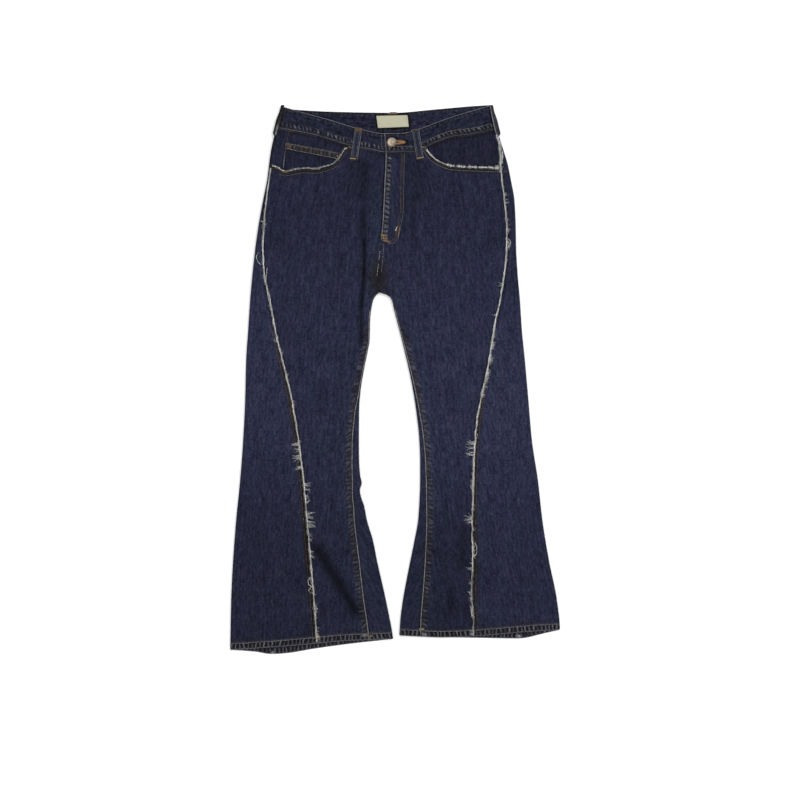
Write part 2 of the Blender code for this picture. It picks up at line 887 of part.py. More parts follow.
def band_cell(leg, on_front, spot, share):
    """One point of the waistband: spot is an angle round the fold or a share of the way in."""
    kind, value = spot
    down = 30.0
    top_line = FRONT_BAND_TOP if on_front else BACK_BAND_TOP
    seam_line = FRONT_BAND_SEAM if on_front else BACK_BAND_SEAM
    inward = -leg.side
    for _ in range(8):
        fold = outer_fold(leg, down)
        if kind == "turn":
            x = fold + inward * FOLD_RADIUS * (1 - math.cos(value))
        elif kind == "near":
            x = fold + inward * (FOLD_RADIUS + value)
        else:
            if on_front:
                end = UNDERLAP_END if leg is RIGHT else FLY_EDGE
            else:
                end = MIDDLE[0].x
            x = lerp(fold + inward * (FOLD_RADIUS + 20.0), end, value)
        down = lerp(across(top_line, x), across(seam_line, x), share)
    if kind == "turn":
        up = 1 if on_front else -1
        z = FOLD_RADIUS + up * FOLD_RADIUS * math.sin(value)
        out = Vector((-inward * math.cos(value), 0, up * math.sin(value)))
    elif on_front:
        distance = abs(x - fold) - FOLD_RADIUS
        z = lerp(BAND_HEIGHT, 2 * FOLD_RADIUS, fold_swell(distance))
        if leg is LEFT:
            z += (BAND_CLOTH + GAP) * (1 - ease((x - BAND_STEP_END) / BAND_STEP_FADE))
        out = Vector((0, 0, 1))
    else:
        z = 0.0
        out = Vector((0, 0, -1))
    return place(x, down, z + lift(down)), out, BAND_CLOTH


def build_waistband(material):
    """One strip from the right end at the fly, round the back, to the left end."""
    half_turn = (math.pi / 2, math.pi / 4)
    spots = [(RIGHT, True, ("share", i / 12)) for i in range(12, -1, -1)]
    spots += [(RIGHT, True, ("near", 9.0))]
    spots += [(RIGHT, True, ("turn", angle)) for angle in half_turn]
    spots += [(RIGHT, False, ("turn", angle)) for angle in (0.0, math.pi / 4, math.pi / 2)]
    spots += [(RIGHT, False, ("share", i / 8)) for i in range(0, 9)]
    spots += [(LEFT, False, ("share", i / 8)) for i in range(7, -1, -1)]
    spots += [(LEFT, False, ("turn", angle)) for angle in half_turn]
    spots += [(LEFT, True, ("turn", angle)) for angle in (0.0, math.pi / 4, math.pi / 2)]
    spots += [(LEFT, True, ("near", 9.0))]
    spots += [(LEFT, True, ("share", i / 14)) for i in range(0, 15)]
    grid = [[band_cell(*spot, share) for spot in spots] for share in (0.0, 0.5, 1.0)]
    return make_wall("waistband", grid, material)


def cloth_finder(objects):
    """A function for the highest cloth at a place, read from the finished pieces."""
    trees = [
        BVHTree.FromPolygons([v.co for v in o.data.vertices], [p.vertices for p in o.data.polygons])
        for o in objects
    ]

    def height(x, down):
        start = place(x, down, 60.0)
        hits = [tree.ray_cast(start, Vector((0, 0, -1)))[0] for tree in trees]
        return max((hit.z / MM for hit in hits if hit), default=0.0)

    return height


def build_front_loop(name, strap, height, material):
    """A strap sewn down at both ends, which stands off the waistband between them."""
    bm = bmesh.new()
    run = Vector((strap.x2 - strap.x1, strap.down2 - strap.down1))
    side = Vector((run.y, -run.x)).normalized() * LOOP_WIDTH / 2
    rings = []
    for i in range(LOOP_STATIONS + 1):
        t = i / LOOP_STATIONS
        x, down = strap.x1 + run.x * t, strap.down1 + run.y * t
        ends = ((x + side.x, down + side.y), (x - side.x, down - side.y))
        reach = (-3.0, 0.0, 3.0)
        bed = max(
            height(lerp(ends[0][0], ends[1][0], s), lerp(ends[0][1], ends[1][1], s) + d)
            for s in (0, 0.25, 0.5, 0.75, 1)
            for d in reach
        )
        z = bed + GAP + LOOP_ARCH * math.sin(math.pi * t) ** 2
        ring = [place(*end, z) for end in ends]
        ring += [place(*end, z + LOOP_CLOTH) for end in reversed(ends)]
        rings.append([bm.verts.new(point) for point in ring])
    for a, b in zip(rings, rings[1:]):
        for i in range(4):
            j = (i + 1) % 4
            bm.faces.new((a[i], a[j], b[j], b[i]))
    bm.faces.new(rings[0])
    bm.faces.new(reversed(rings[-1]))
    bmesh.ops.triangulate(bm, faces=bm.faces[:])
    return make_object(name, bm, material)


def build_side_loop(leg, material):
    """A loop seen edge-on: it follows the fold of the waistband and the cloth below it."""
    paths = (-SIDE_LOOP_UNDER, 0.0, FOLD_ARC / 2, FOLD_ARC, SIDE_LOOP_OVER)
    grid = []
    for i in range(5):
        down = lerp(SIDE_LOOP_TOP, SIDE_LOOP_END, i / 4)
        row = []
        for path in paths:
            x, z, out_x, out_z = section(leg, down, path)
            out = Vector((out_x, 0, out_z)).normalized()
            point = place(x, down, z + lift(down)) + out * (SIDE_LOOP_GAP + LOOP_CLOTH) * MM
            row.append((point, out, LOOP_CLOTH))
        grid.append(row)
    return make_wall(f"loop_side_{leg.name}", grid, material)


def build_prism(name, corners, bottom, top, material):
    """A flat piece with an outline of (x, down) corners."""
    bm = bmesh.new()
    low = [bm.verts.new(place(*corner, bottom)) for corner in corners]
    face = bm.faces.new(low)
    raised = bmesh.ops.extrude_face_region(bm, geom=[face])["geom"]
    moved = [item for item in raised if isinstance(item, bmesh.types.BMVert)]
    bmesh.ops.translate(bm, verts=moved, vec=(0, 0, (top - bottom) * MM))
    bmesh.ops.triangulate(bm, faces=bm.faces[:])
    return make_object(name, bm, material)


def build_back_pocket(leg, material):
    """A five-cornered patch under the seat, on which the garment rests."""
    middle = smooth(MIDDLE, BACK_POCKET_TOP, "down", "x")
    half = BACK_POCKET_WIDTH / 2
    centre = middle + leg.side * (BACK_POCKET_FROM_MIDDLE + half)
    shape = (
        (-half, 0),
        (half, 0),
        (half * 0.93, BACK_POCKET_SIDE),
        (0, BACK_POCKET_POINT),
        (-half * 0.93, BACK_POCKET_SIDE),
    )
    turn = leg.side * BACK_POCKET_TILT
    corners = [
        (
            centre + x * math.cos(turn) - down * math.sin(turn),
            BACK_POCKET_TOP + x * math.sin(turn) + down * math.cos(turn),
        )
        for x, down in shape
    ]
    return build_prism(f"back_pocket_{leg.name}", corners, 0.0, CLOTH, material)


def build_back_loop(material):
    x = MIDDLE[0].x + 13.0
    half = LOOP_WIDTH / 2
    corners = [
        (x - half, BACK_LOOP_TOP),
        (x + half, BACK_LOOP_TOP),
        (x + half, BACK_LOOP_END),
        (x - half, BACK_LOOP_END),
    ]
    return build_prism("loop_back", corners, 0.0, CLOTH, material)


def build_label(height, material):
    bed = max(height(x, down) for x, down in LABEL_CORNERS)
    return build_prism("label", LABEL_CORNERS, bed + GAP, bed + GAP + LABEL_CLOTH, material)


def build_button(height, material):
    """A shank button: a dished disc with a rounded rim, turned about its own axis."""
    profile = (
        (0.0, 0.75),
        (0.42, 0.72),
        (0.66, 0.78),
        (0.84, 1.0),
        (0.97, 0.82),
        (1.0, 0.45),
        (0.9, 0.0),
        (0.0, 0.0),
    )
    bed = height(BUTTON_X, BUTTON_DOWN) + GAP
    bm = bmesh.new()
    rings = []
    for radius, level in profile:
        z = bed + level * BUTTON_HEIGHT
        if radius == 0.0:
            rings.append([bm.verts.new(place(BUTTON_X, BUTTON_DOWN, z))])
            continue
        ring = []
        for i in range(BUTTON_SIDES):
            angle = 2 * math.pi * i / BUTTON_SIDES
            x = BUTTON_X + radius * BUTTON_RADIUS * math.cos(angle)
            down = BUTTON_DOWN + radius * BUTTON_RADIUS * math.sin(angle)
            ring.append(bm.verts.new(place(x, down, z)))
        rings.append(ring)
    for a, b in zip(rings, rings[1:]):
        for i in range(BUTTON_SIDES):
            j = (i + 1) % BUTTON_SIDES
            corners = [a[i % len(a)], b[i % len(b)], b[j % len(b)], a[j % len(a)]]
            bm.faces.new(list(dict.fromkeys(corners)))
    bmesh.ops.triangulate(bm, faces=bm.faces[:])
    return make_object("button", bm, material)


def build_fray(name, line, lock_at, height, material):
    """A narrow strip along a line of places, with tapering locks drawn from its sides."""
    bm = bmesh.new()
    rings = []
    sides = []
    for i, (x, down) in enumerate(line):
        before, after = line[max(i - 1, 0)], line[min(i + 1, len(line) - 1)]
        run = Vector((after[0] - before[0], after[1] - before[1])).normalized()
        side = Vector((run.y, -run.x))
        sides.append(side)
        half = side * FRAY_WIDTH / 2
        spots = [(x + half.x * s, down + half.y * s) for s in (-1.3, -0.6, 0, 0.6, 1.3)]
        bed = max(height(*spot) for spot in spots) + FRAY_CLEAR
        ends = ((x - half.x, down - half.y), (x + half.x, down + half.y))
        ring = [place(*ends[0], bed), place(*ends[1], bed)]
        ring += [place(*ends[1], bed + FRAY_CLOTH), place(*ends[0], bed + FRAY_CLOTH)]
        rings.append([bm.verts.new(point) for point in ring])
    locks = 0
    for i, (a, b) in enumerate(zip(rings, rings[1:])):
        bm.faces.new((a[0], a[1], b[1], b[0]))
        bm.faces.new((a[2], a[3], b[3], b[2]))
        for sign, corners in ((1, (a[1], b[1], b[2], a[2])), (-1, (b[0], a[0], a[3], b[3]))):
            length, lean = lock_at(i, sign)
            if not length:
                bm.faces.new(corners)
                continue
            locks += 1
            x = (line[i][0] + line[i + 1][0]) / 2
            down = (line[i][1] + line[i + 1][1]) / 2
            reach = sides[i] * sign * (FRAY_WIDTH / 2 + length)
            tip_x, tip_down = x + reach.x, down + reach.y + lean
            beside = [(tip_x + dx, tip_down + dy) for dx in (-3, 0, 3) for dy in (-3, 0, 3)]
            bed = max(height(*spot) for spot in beside) + FRAY_CLEAR
            middle = sum((v.co for v in corners), Vector()) / 4
            tip = place(tip_x, tip_down, max(bed, middle.z / MM - FRAY_CLOTH / 2))
            tip.z += FRAY_CLOTH / 2 * MM
            ends = [bm.verts.new(tip + (v.co - middle) * LOCK_TIP) for v in corners]
            for j in range(4):
                k = (j + 1) % 4
                bm.faces.new((corners[j], corners[k], ends[k], ends[j]))
            bm.faces.new(ends)
    bm.faces.new(rings[0])
    bm.faces.new(reversed(rings[-1]))
    bmesh.ops.triangulate(bm, faces=bm.faces[:])
    return make_object(name, bm, material), locks


def seam_line(leg, start):
    """The frayed seam's places from a level to the hem, at the panels' own rows."""
    anchors = []
    downs = [start, (start + UPPER_END) / 2, UPPER_END, *LEG_LEVELS]
    downs += range(SHIN_START, SHIN_END + 1, SHIN_STEP)
    for down in downs:
        anchors.append((section(leg, down, seam_at(leg, down))[0], down))
    x = section(leg, SHIN_END + 60, seam_at(leg, SHIN_END + 60))[0]
    hem = across(leg.front_hem, x)
    for down in ((SHIN_END + hem) / 2, hem - 1.0):
        anchors.append((section(leg, down, seam_at(leg, down))[0], down))
    line = [anchors[0]]
    for a, b in zip(anchors, anchors[1:]):
        cells = max(1, round(math.hypot(b[0] - a[0], b[1] - a[1]) / FRAY_STATION))
        line += [(lerp(a[0], b[0], k / cells), lerp(a[1], b[1], k / cells)) for k in range(1, cells + 1)]
    return line


def build_seam_fray(leg, start, table, height, material):
    line = seam_line(leg, start)

    def lock_at(i, sign):
        down = (line[i][1] + line[i + 1][1]) / 2
        outward = sign == leg.side
        for row in table:
            if row.start <= down <= row.end and outward == (row.side == "out"):
                vary = 0.62 + 0.38 * math.sin(i * 2.4 + leg.side)
                return row.length * vary, 2.5 * math.sin(i * 1.7)
        if i % 4 == 1 + (sign > 0):
            return 1.6, 0.5
        return 0.0, 0.0

    return build_fray(f"fray_seam_{leg.name}", line, lock_at, height, material)


def build_pocket_fray(leg, height, material):
    """The raw edge of the pocket's mouth, from the waistband to the side."""
    table = leg.pocket if leg is LEFT else tuple(reversed(leg.pocket))
    end_x = section(leg, 115.0, seam_at(leg, 115.0))[0]
    places = [(row.x, row.down) for row in table if (end_x - row.x) * leg.side > 8]
    places.append((end_x - leg.side * 4.5, across(leg.pocket, end_x - leg.side * 4.5)))
    dense = []
    for a, b in zip(places, places[1:]):
        cells = max(1, round(math.hypot(b[0] - a[0], b[1] - a[1]) / POCKET_FRAY_STATION))
        for k in range(cells):
            x = lerp(a[0], b[0], k / cells)
            dense.append((x, across(leg.pocket, x)))
    dense.append(places[-1])
    dense = [(x, down + FRAY_WIDTH / 2) for x, down in dense[1:]]

    def lock_at(i, sign):
        upward = -1 if leg is RIGHT else 1
        if sign == upward and i % 2 == 0:
            return POCKET_LOCK * (0.7 + 0.3 * math.sin(i * 1.9)), 0.0
        return 0.0, 0.0

    return build_fray(f"fray_pocket_{leg.name}", dense, lock_at, height, material)


def build_jeans():
    for old in list(bpy.data.objects):
        bpy.data.objects.remove(old, do_unlink=True)
    denim = make_material("indigo_denim", (0.022, 0.026, 0.062), 0.85)
    inside = make_material("denim_inside", (0.06, 0.075, 0.13), 0.9)
    undyed = make_material("undyed_fray", (0.62, 0.6, 0.55), 0.95)
    copper = make_material("button_metal", (0.62, 0.45, 0.36), 0.35, 1.0)
    cream = make_material("label_cloth", (0.72, 0.66, 0.52), 0.8)

    waistband = build_waistband(denim)
    tops = [waistband]
    for leg in (RIGHT, LEFT):
        tops.append(build_front(leg, denim))
        tops.append(build_side(leg, denim))
        tops.append(build_facing(leg, inside))
        build_back(leg, denim)
        build_yoke(leg, denim)
        build_back_pocket(leg, denim)
        build_side_loop(leg, denim)
    build_coin_pocket(inside)
    build_back_loop(denim)

    height = cloth_finder(tops)
    for name, strap in FRONT_LOOPS.items():
        build_front_loop(name, strap, height, denim)
    build_button(height, copper)
    build_label(height, cream)
    build_seam_fray(RIGHT, 118.0, RIGHT_SEAM_FRAY, height, undyed)
    build_seam_fray(LEFT, 62.0, LEFT_SEAM_FRAY, height, undyed)
    for leg in (RIGHT, LEFT):
        build_pocket_fray(leg, height, undyed)


build_jeans()
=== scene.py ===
"""Bootcut jeans in dark denim, laid flat with the fly up: the looks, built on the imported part.

Sizes are in millimetres until a point is placed. x runs across from the middle of the waist
(plus is the wearer's left) and down runs from the top of the waist to the hems.
"""

import functools
import math

import bpy
import numpy as np
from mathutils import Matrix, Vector
from mathutils.bvhtree import BVHTree


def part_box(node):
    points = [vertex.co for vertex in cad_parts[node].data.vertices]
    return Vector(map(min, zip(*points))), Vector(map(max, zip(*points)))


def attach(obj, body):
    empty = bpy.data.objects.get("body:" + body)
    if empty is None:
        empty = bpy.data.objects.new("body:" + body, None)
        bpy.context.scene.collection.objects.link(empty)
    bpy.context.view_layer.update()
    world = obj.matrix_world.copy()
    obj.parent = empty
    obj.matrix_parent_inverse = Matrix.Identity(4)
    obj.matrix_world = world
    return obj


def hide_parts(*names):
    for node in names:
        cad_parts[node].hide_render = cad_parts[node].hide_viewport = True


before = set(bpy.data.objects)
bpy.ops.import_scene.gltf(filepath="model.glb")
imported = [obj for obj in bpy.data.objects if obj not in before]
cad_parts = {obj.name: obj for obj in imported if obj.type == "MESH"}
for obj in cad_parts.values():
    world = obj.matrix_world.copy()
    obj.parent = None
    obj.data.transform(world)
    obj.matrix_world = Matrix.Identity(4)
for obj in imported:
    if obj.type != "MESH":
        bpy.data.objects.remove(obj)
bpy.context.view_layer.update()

# ---- Pocket facings ----------------------------------------------------------------------
# The cloth that closes each front pocket's mouth: indigo twill, rinsed a few times, dark and
# slightly purple with pale slubs down the warp. It's sewn in under the waistband and the side.

MM = 0.001
CLOTH = 1.1
GAP = 0.3
SEAM = 0.18
LAP = CLOTH + GAP
FOLD_RADIUS = 3.0
FOLD_ARC = math.pi * FOLD_RADIUS / 2
FLAT_HEIGHT = 2 * CLOTH + GAP
CROTCH = 340.2
BAND_GAP = 0.75


def place(x, down, z):
    """The point in metres of a place on the garment."""
    x, down, z = np.broadcast_arrays(x, down, z)
    return np.stack([(x - 0.9) * MM, (496.9 - down) * MM, z * MM], axis=-1)


def ease(t):
    """0 below 0, 1 above 1 and a soft step between."""
    t = np.clip(t, 0.0, 1.0)
    return t * t * (3 - 2 * t)


def lerp(a, b, t):
    return a + (b - a) * t


def hill(off, width):
    return np.exp(-((off / width) ** 2))


def between(value, low, high, soft=1.5):
    """1 between two distances and 0 outside them."""
    return ease((value - low) / soft + 0.5) * ease((high - value) / soft + 0.5)


def most(*values):
    """The largest of several values at each place."""
    return functools.reduce(np.maximum, values)


def rounded(from_edge, radius, at_edge=0.35):
    """How full a wall is near its edge: at_edge on it, and 1 from a radius inwards."""
    return lerp(at_edge, 1.0, np.sqrt(np.clip(from_edge / radius, 0, 1)))


def curve(x, line, off=0.0):
    """The points of a line across the garment, moved down by off."""
    return np.stack([x, line(x) + off], axis=1)


class Line:
    """A smooth line through marks of (place, value), with no overshoot between them."""

    def __init__(self, *marks):
        self.at = np.array([mark[0] for mark in marks], float)
        self.value = np.array([mark[1] for mark in marks], float)
        rise = np.diff(self.value) / np.diff(self.at)
        before, after = rise[:-1], rise[1:]
        turning = before * after <= 0
        total = np.where(turning, 1.0, before + after)
        middle_slope = np.where(turning, 0.0, 2 * before * after / total)
        self.slope = np.concatenate([rise[:1], middle_slope, rise[-1:]])

    def __call__(self, at):
        at = np.clip(at, self.at[0], self.at[-1])
        i = np.clip(np.searchsorted(self.at, at, side="right") - 1, 0, len(self.at) - 2)
        step = self.at[i + 1] - self.at[i]
        t = (at - self.at[i]) / step
        return (
            self.value[i] * (1 + 2 * t) * (1 - t) ** 2
            + self.value[i + 1] * t * t * (3 - 2 * t)
            + step * self.slope[i] * t * (1 - t) ** 2
            - step * self.slope[i + 1] * t * t * (1 - t)
        )


class Leg:
    """One half of the jeans: its folds and seams, as lines down the leg or across it."""

    def __init__(self, name, side, outer, inner, **lines):
        self.name, self.side = name, side
        self.fold, self.seam, self.back_seam = columns(outer)
        self.inner, self.inseam = columns(inner)
        for key, line in lines.items():
            setattr(self, key, line)


def columns(table):
    """A line for each column of a table after its first, which says how far down a row is."""
    return [
        Line(*((row[0], row[i]) for row in table if row[i] is not None))
        for i in range(1, len(table[0]))
    ]


middle = Line(
    (4, -15.3), (88, -15.7), (156, -18.5), (215, -21.6), (246, -24.7), (285, -28.6), (318, -29.2),
    (CROTCH, -27.0),
)
front_band_seam = Line(
    (-214, 43.2), (-188, 47.7), (-143, 56.7), (-77, 76.1), (-44, 82.3), (-14, 88.0), (31, 87.3), (55, 78.7),
    (76, 68.8), (106, 59.0), (136, 55.3), (185, 45.0),
)
RIGHT_OUTER = (
    # down, outer fold, front seam, back seam
    (4, -203.0, 5.6, 24), (44, -212.8, None, 26), (84, -222.3, None, 28), (138, -229.5, 5.6, 32),
    (174, -236.7, 7.6, 34), (219, -244.8, 11.2, 37), (264, -251.1, 17.4, 40), (309, -256.0, 25.1, 43),
    (354, -260.1, 37.9, 46), (408, -263.7, 51.4, 50), (462, -267.3, 68.3, 53), (534, -269.1, 87.3, 57),
    (606, -272.7, 103.0, 61), (678, -278.1, 117.2, 65), (750, -285.3, 130.5, 68),
    (822, -290.7, 141.7, 71), (894, -294.3, 151.6, 74), (992, -296.1, 160.5, 77),
)
RIGHT_INNER = (
    # down, inner fold, inseam
    (CROTCH, -27.0, 2.0), (347, -34.6, None), (361, -40.0, None), (390, -43.7, None),
    (426, -44.6, None), (444, -47.7, 2.0), (480, -54.9, 2.2), (516, -60.8, 2.7), (552, -63.5, 7.2),
    (606, -63.9, 12.2), (642, -63.5, 13.0), (671, -61.4, 14.8), (683, -58.7, 17.0), (696, -62.3, 13.8),
    (709, -59.8, 16.0), (724, -54.6, 19.4), (750, -49.5, 22.9), (786, -38.7, 29.8), (822, -31.5, 32.6),
    (894, -15.3, 40.3), (966, -1.8, 44.1), (992, 1.0, 45.0),
)
RIGHT = Leg(
    "right", -1, RIGHT_OUTER, RIGHT_INNER,
    pocket=Line(
        (-225, 111.0), (-212, 114.3), (-203, 119.7), (-194, 121.9), (-179, 118.8), (-161, 116.6),
        (-143, 117.4), (-128, 114.3), (-113, 109.3), (-103, 101.7), (-95, 91.3), (-89, 81.6), (-80, 77.8),
    ),
    pocket_end=-78.0,
    front_hem=Line((-296, 983.7), (-246, 980.6), (-148, 972.9), (-89, 967.5), (0, 963.9)),
    back_hem=Line(
        (-296, 983.7), (-249, 987.3), (-222, 991.4), (-197, 990.0), (-143, 981.4), (-84, 973.3), (0, 963.9)
    ),
)
LEFT_OUTER = (
    # down, outer fold, front seam, back seam
    (4, 176.0, 5.6, 22), (44, 184.0, 5.6, 24), (66, 190.8, 6.4, 25), (84, 196.2, 8.8, 26),
    (111, 204.3, 15.3, 28), (138, 209.7, 18.3, 30), (174, 216.0, 20.1, 32), (219, 218.3, 18.5, 34),
    (264, 219.2, 19.4, 36), (309, 221.9, 26.5, 38), (354, 225.9, 37.9, 40), (408, 229.5, 52.9, 43),
    (462, 234.9, 67.8, 45), (534, 241.2, 90.9, 48), (606, 247.5, 105.6, 51), (678, 258.3, 119.5, 53),
    (750, 266.4, 129.3, 55), (822, 278.1, 139.7, 57), (894, 292.5, 155.5, 59), (948, 297.9, 157.8, 60),
    (992, 297.9, 156.0, 60),
)
LEFT_INNER = (
    # down, inner fold, inseam
    (CROTCH, -27.0, 2.0), (344, -15.3, None), (351, -6.3, None), (372, -0.9, 2.0), (426, 13.1, 2.2),
    (498, 29.7, 3.8), (552, 38.7, 6.0), (606, 44.5, 8.4), (642, 45.9, 10.0), (678, 45.9, 11.4),
    (714, 44.8, 13.1), (750, 42.3, 15.9), (786, 35.8, 21.5), (858, 21.4, 31.9), (894, 14.9, 35.6),
    (930, 10.3, 37.5), (966, 8.1, 39.1), (992, 7.0, 40.0),
)
LEFT = Leg(
    "left", 1, LEFT_OUTER, LEFT_INNER,
    pocket=Line((56, 79.2), (64, 91.3), (76, 101.7), (91, 109.3), (106, 113.0), (166, 115.7), (210, 117.0)),
    pocket_end=55.0,
    front_hem=Line((7, 957.6), (46, 959.8), (85, 961.2), (142, 959.2), (244, 950.8), (298, 947.5)),
    back_hem=Line((7, 957.6), (46, 959.8), (148, 962.1), (223, 963.2), (274, 953.1), (298, 947.5)),
)

# Soft folds pressed in by lying flat: from one end to the other, how high and how wide, and the
# painted light along them, painted shade below 0 and painted highlight above 0. A height of 0 only
# paints shade on the cloth.
FOLDS = (
    # x1, down1, x2, down2, height, width, painted light
    (-45, 165, -47, 420, 2.6, 12, 0.0),
    (-143, 775, -50, 928, 2.6, 12, 0.0),
    (-98, 262, -96, 350, 1.6, 12, 0.0),
    (30, 165, 33, 290, 1.8, 13, 0.0),
    (106, 150, 108, 178, 1.4, 14, 0.0),
    (128, 745, 121, 850, 2.0, 13, 0.0),
    (104, 860, 98, 925, 1.6, 12, 0.0),
    (-62, 84, -62, 182, 0.0, 26.0, -0.26),
    (42, 84, 42, 190, 0.0, 15.0, -0.26),
    (-52.5, 88, -56.5, 207, -0.7, 8.0, -0.18),
    (-56.5, 183, -54.5, 262, -1.1, 6.6, -0.46),
    (-54.5, 238, -54.5, 315, -1.5, 4.2, -0.84),
    (-54.5, 291, -59.5, 372, -1.5, 4.2, -0.84),
    (-59.5, 348, -61.0, 452, -1.2, 4.2, -0.66),
    (-48.0, 215, -47.5, 345, 0.3, 4.0, 0.12),
    (-50.0, 322, -51.0, 445, 0.4, 4.2, 0.40),
    (-151, 782, -57, 934, -1.3, 11.0, -0.62),
    (-97, 262, -95, 345, -0.7, 5.0, -0.20),
    (33, 150, 34, 290, -0.8, 6.0, -0.22),
    (105, 138, 107, 172, -0.6, 5.0, -0.25),
    (166, 236, 166, 272, -0.5, 4.0, -0.22),
    (125, 745, 122, 850, -1.0, 8.0, -0.30),
    (103, 865, 100, 925, -0.9, 7.0, -0.30),
    (-62, 88, -36, 112, 0.7, 3.0, 0.22),
    (-56, 86, -30, 100, 0.6, 2.6, 0.20),
    (-70, 112, -76, 170, 0.6, 4.0, 0.12),
    (-4.5, 96, 7, 117, 0.4, 1.7, 0.34),
    (-7.5, 103, 3, 124, -0.3, 1.9, -0.30),
    (1, 92, 11, 108, -0.3, 1.8, -0.26),
    (-30, 330, -60, 372, -0.8, 3.6, -0.25),
    (-24, 328, 14, 352, -0.8, 3.4, -0.25),
    (-28, 318, -54, 346, -0.6, 3.0, -0.18),
    (-18, 300, 8, 322, -0.5, 3.0, -0.14),
    (-158, 470, -100, 500, 0.5, 7.0, 0.05),
    (-190, 560, -120, 575, 0.5, 8.0, 0.04),
    (80, 450, 150, 470, 0.5, 8.0, 0.05),
    (-200, 700, -150, 760, 0.6, 9.0, 0.05),
    (180, 640, 250, 700, 0.6, 10.0, 0.05),
)


def along_fold(fold, x, down):
    """How much of a fold there is at a place, from 0 to 1."""
    x1, down1, x2, down2, _, width, _ = fold
    run_x, run_down = x2 - x1, down2 - down1
    length = math.hypot(run_x, run_down)
    along = ((x - x1) * run_x + (down - down1) * run_down) / length
    off = ((x - x1) * run_down - (down - down1) * run_x) / length
    soft = min(length * 0.25, 24.0)
    ends = ease(along / soft) * ease((length - along) / soft)
    return ends * hill(off, width)


def inner_edge(leg, down):
    """The middle line above the crotch and the leg's inner fold below it."""
    return np.where(down <= CROTCH, middle(down), leg.inner(down)) + leg.side * SEAM


def curl(down):
    return ease((down - 296.0) / (CROTCH - 296.0))


def lift(down):
    """The seat is held up by the patch pockets under it."""
    return LAP * (1 - ease((down - 300.0) / 90.0))


def inner_reach(turn):
    turn = np.maximum(turn, 1e-6)
    return FOLD_RADIUS / turn * np.sin(turn * math.pi / 2)


def section_length(leg, down):
    """From the outer fold over the front to the inner edge."""
    width = np.abs(inner_edge(leg, down) - leg.fold(down))
    return 2 * FOLD_ARC + width - FOLD_RADIUS - inner_reach(curl(down))


def fold_swell(distance):
    return hill(np.maximum(distance, 0.0), 13.0)


def front_height(leg, x, down, rest):
    """The front's outer face: it swells at both folds and at the creases."""
    full = 2 * FOLD_RADIUS
    outside = fold_swell(np.abs(x - leg.fold(down)) - FOLD_RADIUS)
    inside = fold_swell(np.abs(inner_edge(leg, down) - x) - inner_reach(curl(down)))
    inside = inside * ease((down - 248.0) / (304.0 - 248.0))
    creases = sum(fold[4] * along_fold(fold, x, down) for fold in FOLDS)
    swell = np.maximum(outside, inside)
    return rest + (full - rest) * swell + creases * (1 - outside) * (1 - inside)


def section(leg, down, path, rest=FLAT_HEIGHT):
    """x, z and whether it's on the front, at a path length from the outer fold.

    A positive path runs over the front and a negative one underneath, and a path past the
    inner fold comes round it to the front again.
    """
    length = section_length(leg, down)
    past = np.abs(path) > length
    run = np.where(past, 2 * length - np.abs(path), np.abs(path))
    front = (path >= 0) ^ past
    up = np.where(front, 1.0, -1.0)
    inward = -leg.side
    fold = leg.fold(down)
    outer_turn = np.minimum(run, FOLD_ARC) / FOLD_RADIUS
    turned_x = fold + inward * FOLD_RADIUS * (1 - np.cos(outer_turn))
    turned_z = FOLD_RADIUS + up * FOLD_RADIUS * np.sin(outer_turn)
    flat_x = fold + inward * (FOLD_RADIUS + run - FOLD_ARC)
    flat_z = np.where(front, front_height(leg, flat_x, down, rest), 0.0)
    turn = np.maximum(curl(down), 1e-6)
    start = inner_edge(leg, down) - inward * inner_reach(turn)
    angle = turn * np.maximum(run - (length - FOLD_ARC), 0.0) / FOLD_RADIUS
    bend = FOLD_RADIUS / turn * (1 - np.cos(angle))
    inner_x = start + inward * FOLD_RADIUS / turn * np.sin(angle)
    inner_z = np.where(front, front_height(leg, start, down, rest) - bend, bend)
    at_outer, at_inner = run < FOLD_ARC, run > length - FOLD_ARC
    x = np.where(at_outer, turned_x, np.where(at_inner, inner_x, flat_x))
    z = np.where(at_outer, turned_z, np.where(at_inner, inner_z, flat_z))
    return x, z, front


class Dye:
    """A shader number that adds its Math nodes when it's used in a sum."""

    def __init__(self, finish, socket):
        self.finish, self.socket = finish, socket

    def maths(self, operation, *values, clamp=False):
        settings = {"operation": operation, "use_clamp": clamp}
        return self.finish.add("ShaderNodeMath", settings, dict(enumerate(values)))

    def __add__(self, other):
        return self.maths("ADD", self, other)

    __radd__ = __add__

    def __sub__(self, other):
        return self.maths("SUBTRACT", self, other)

    def __rsub__(self, other):
        return self.maths("SUBTRACT", other, self)

    def __mul__(self, other):
        return self.maths("MULTIPLY", self, other)

    __rmul__ = __mul__

    def __truediv__(self, other):
        return self.maths("DIVIDE", self, other)

    def __abs__(self):
        return self.maths("ABSOLUTE", self)

    def sine(self):
        return self.maths("SINE", self)

    def whole(self):
        return self.maths("FLOOR", self)

    def part(self):
        return self.maths("FRACT", self)

    def most(self, other):
        return self.maths("MAXIMUM", self, other)

    def within(self):
        return self.maths("ADD", self, 0.0, clamp=True)

    def step(self, low, high):
        """0 below low, 1 above high and a soft step between."""
        sockets = {"Value": self, "From Min": low, "From Max": high}
        return self.finish.add("ShaderNodeMapRange", {"interpolation_type": "SMOOTHSTEP"}, sockets)


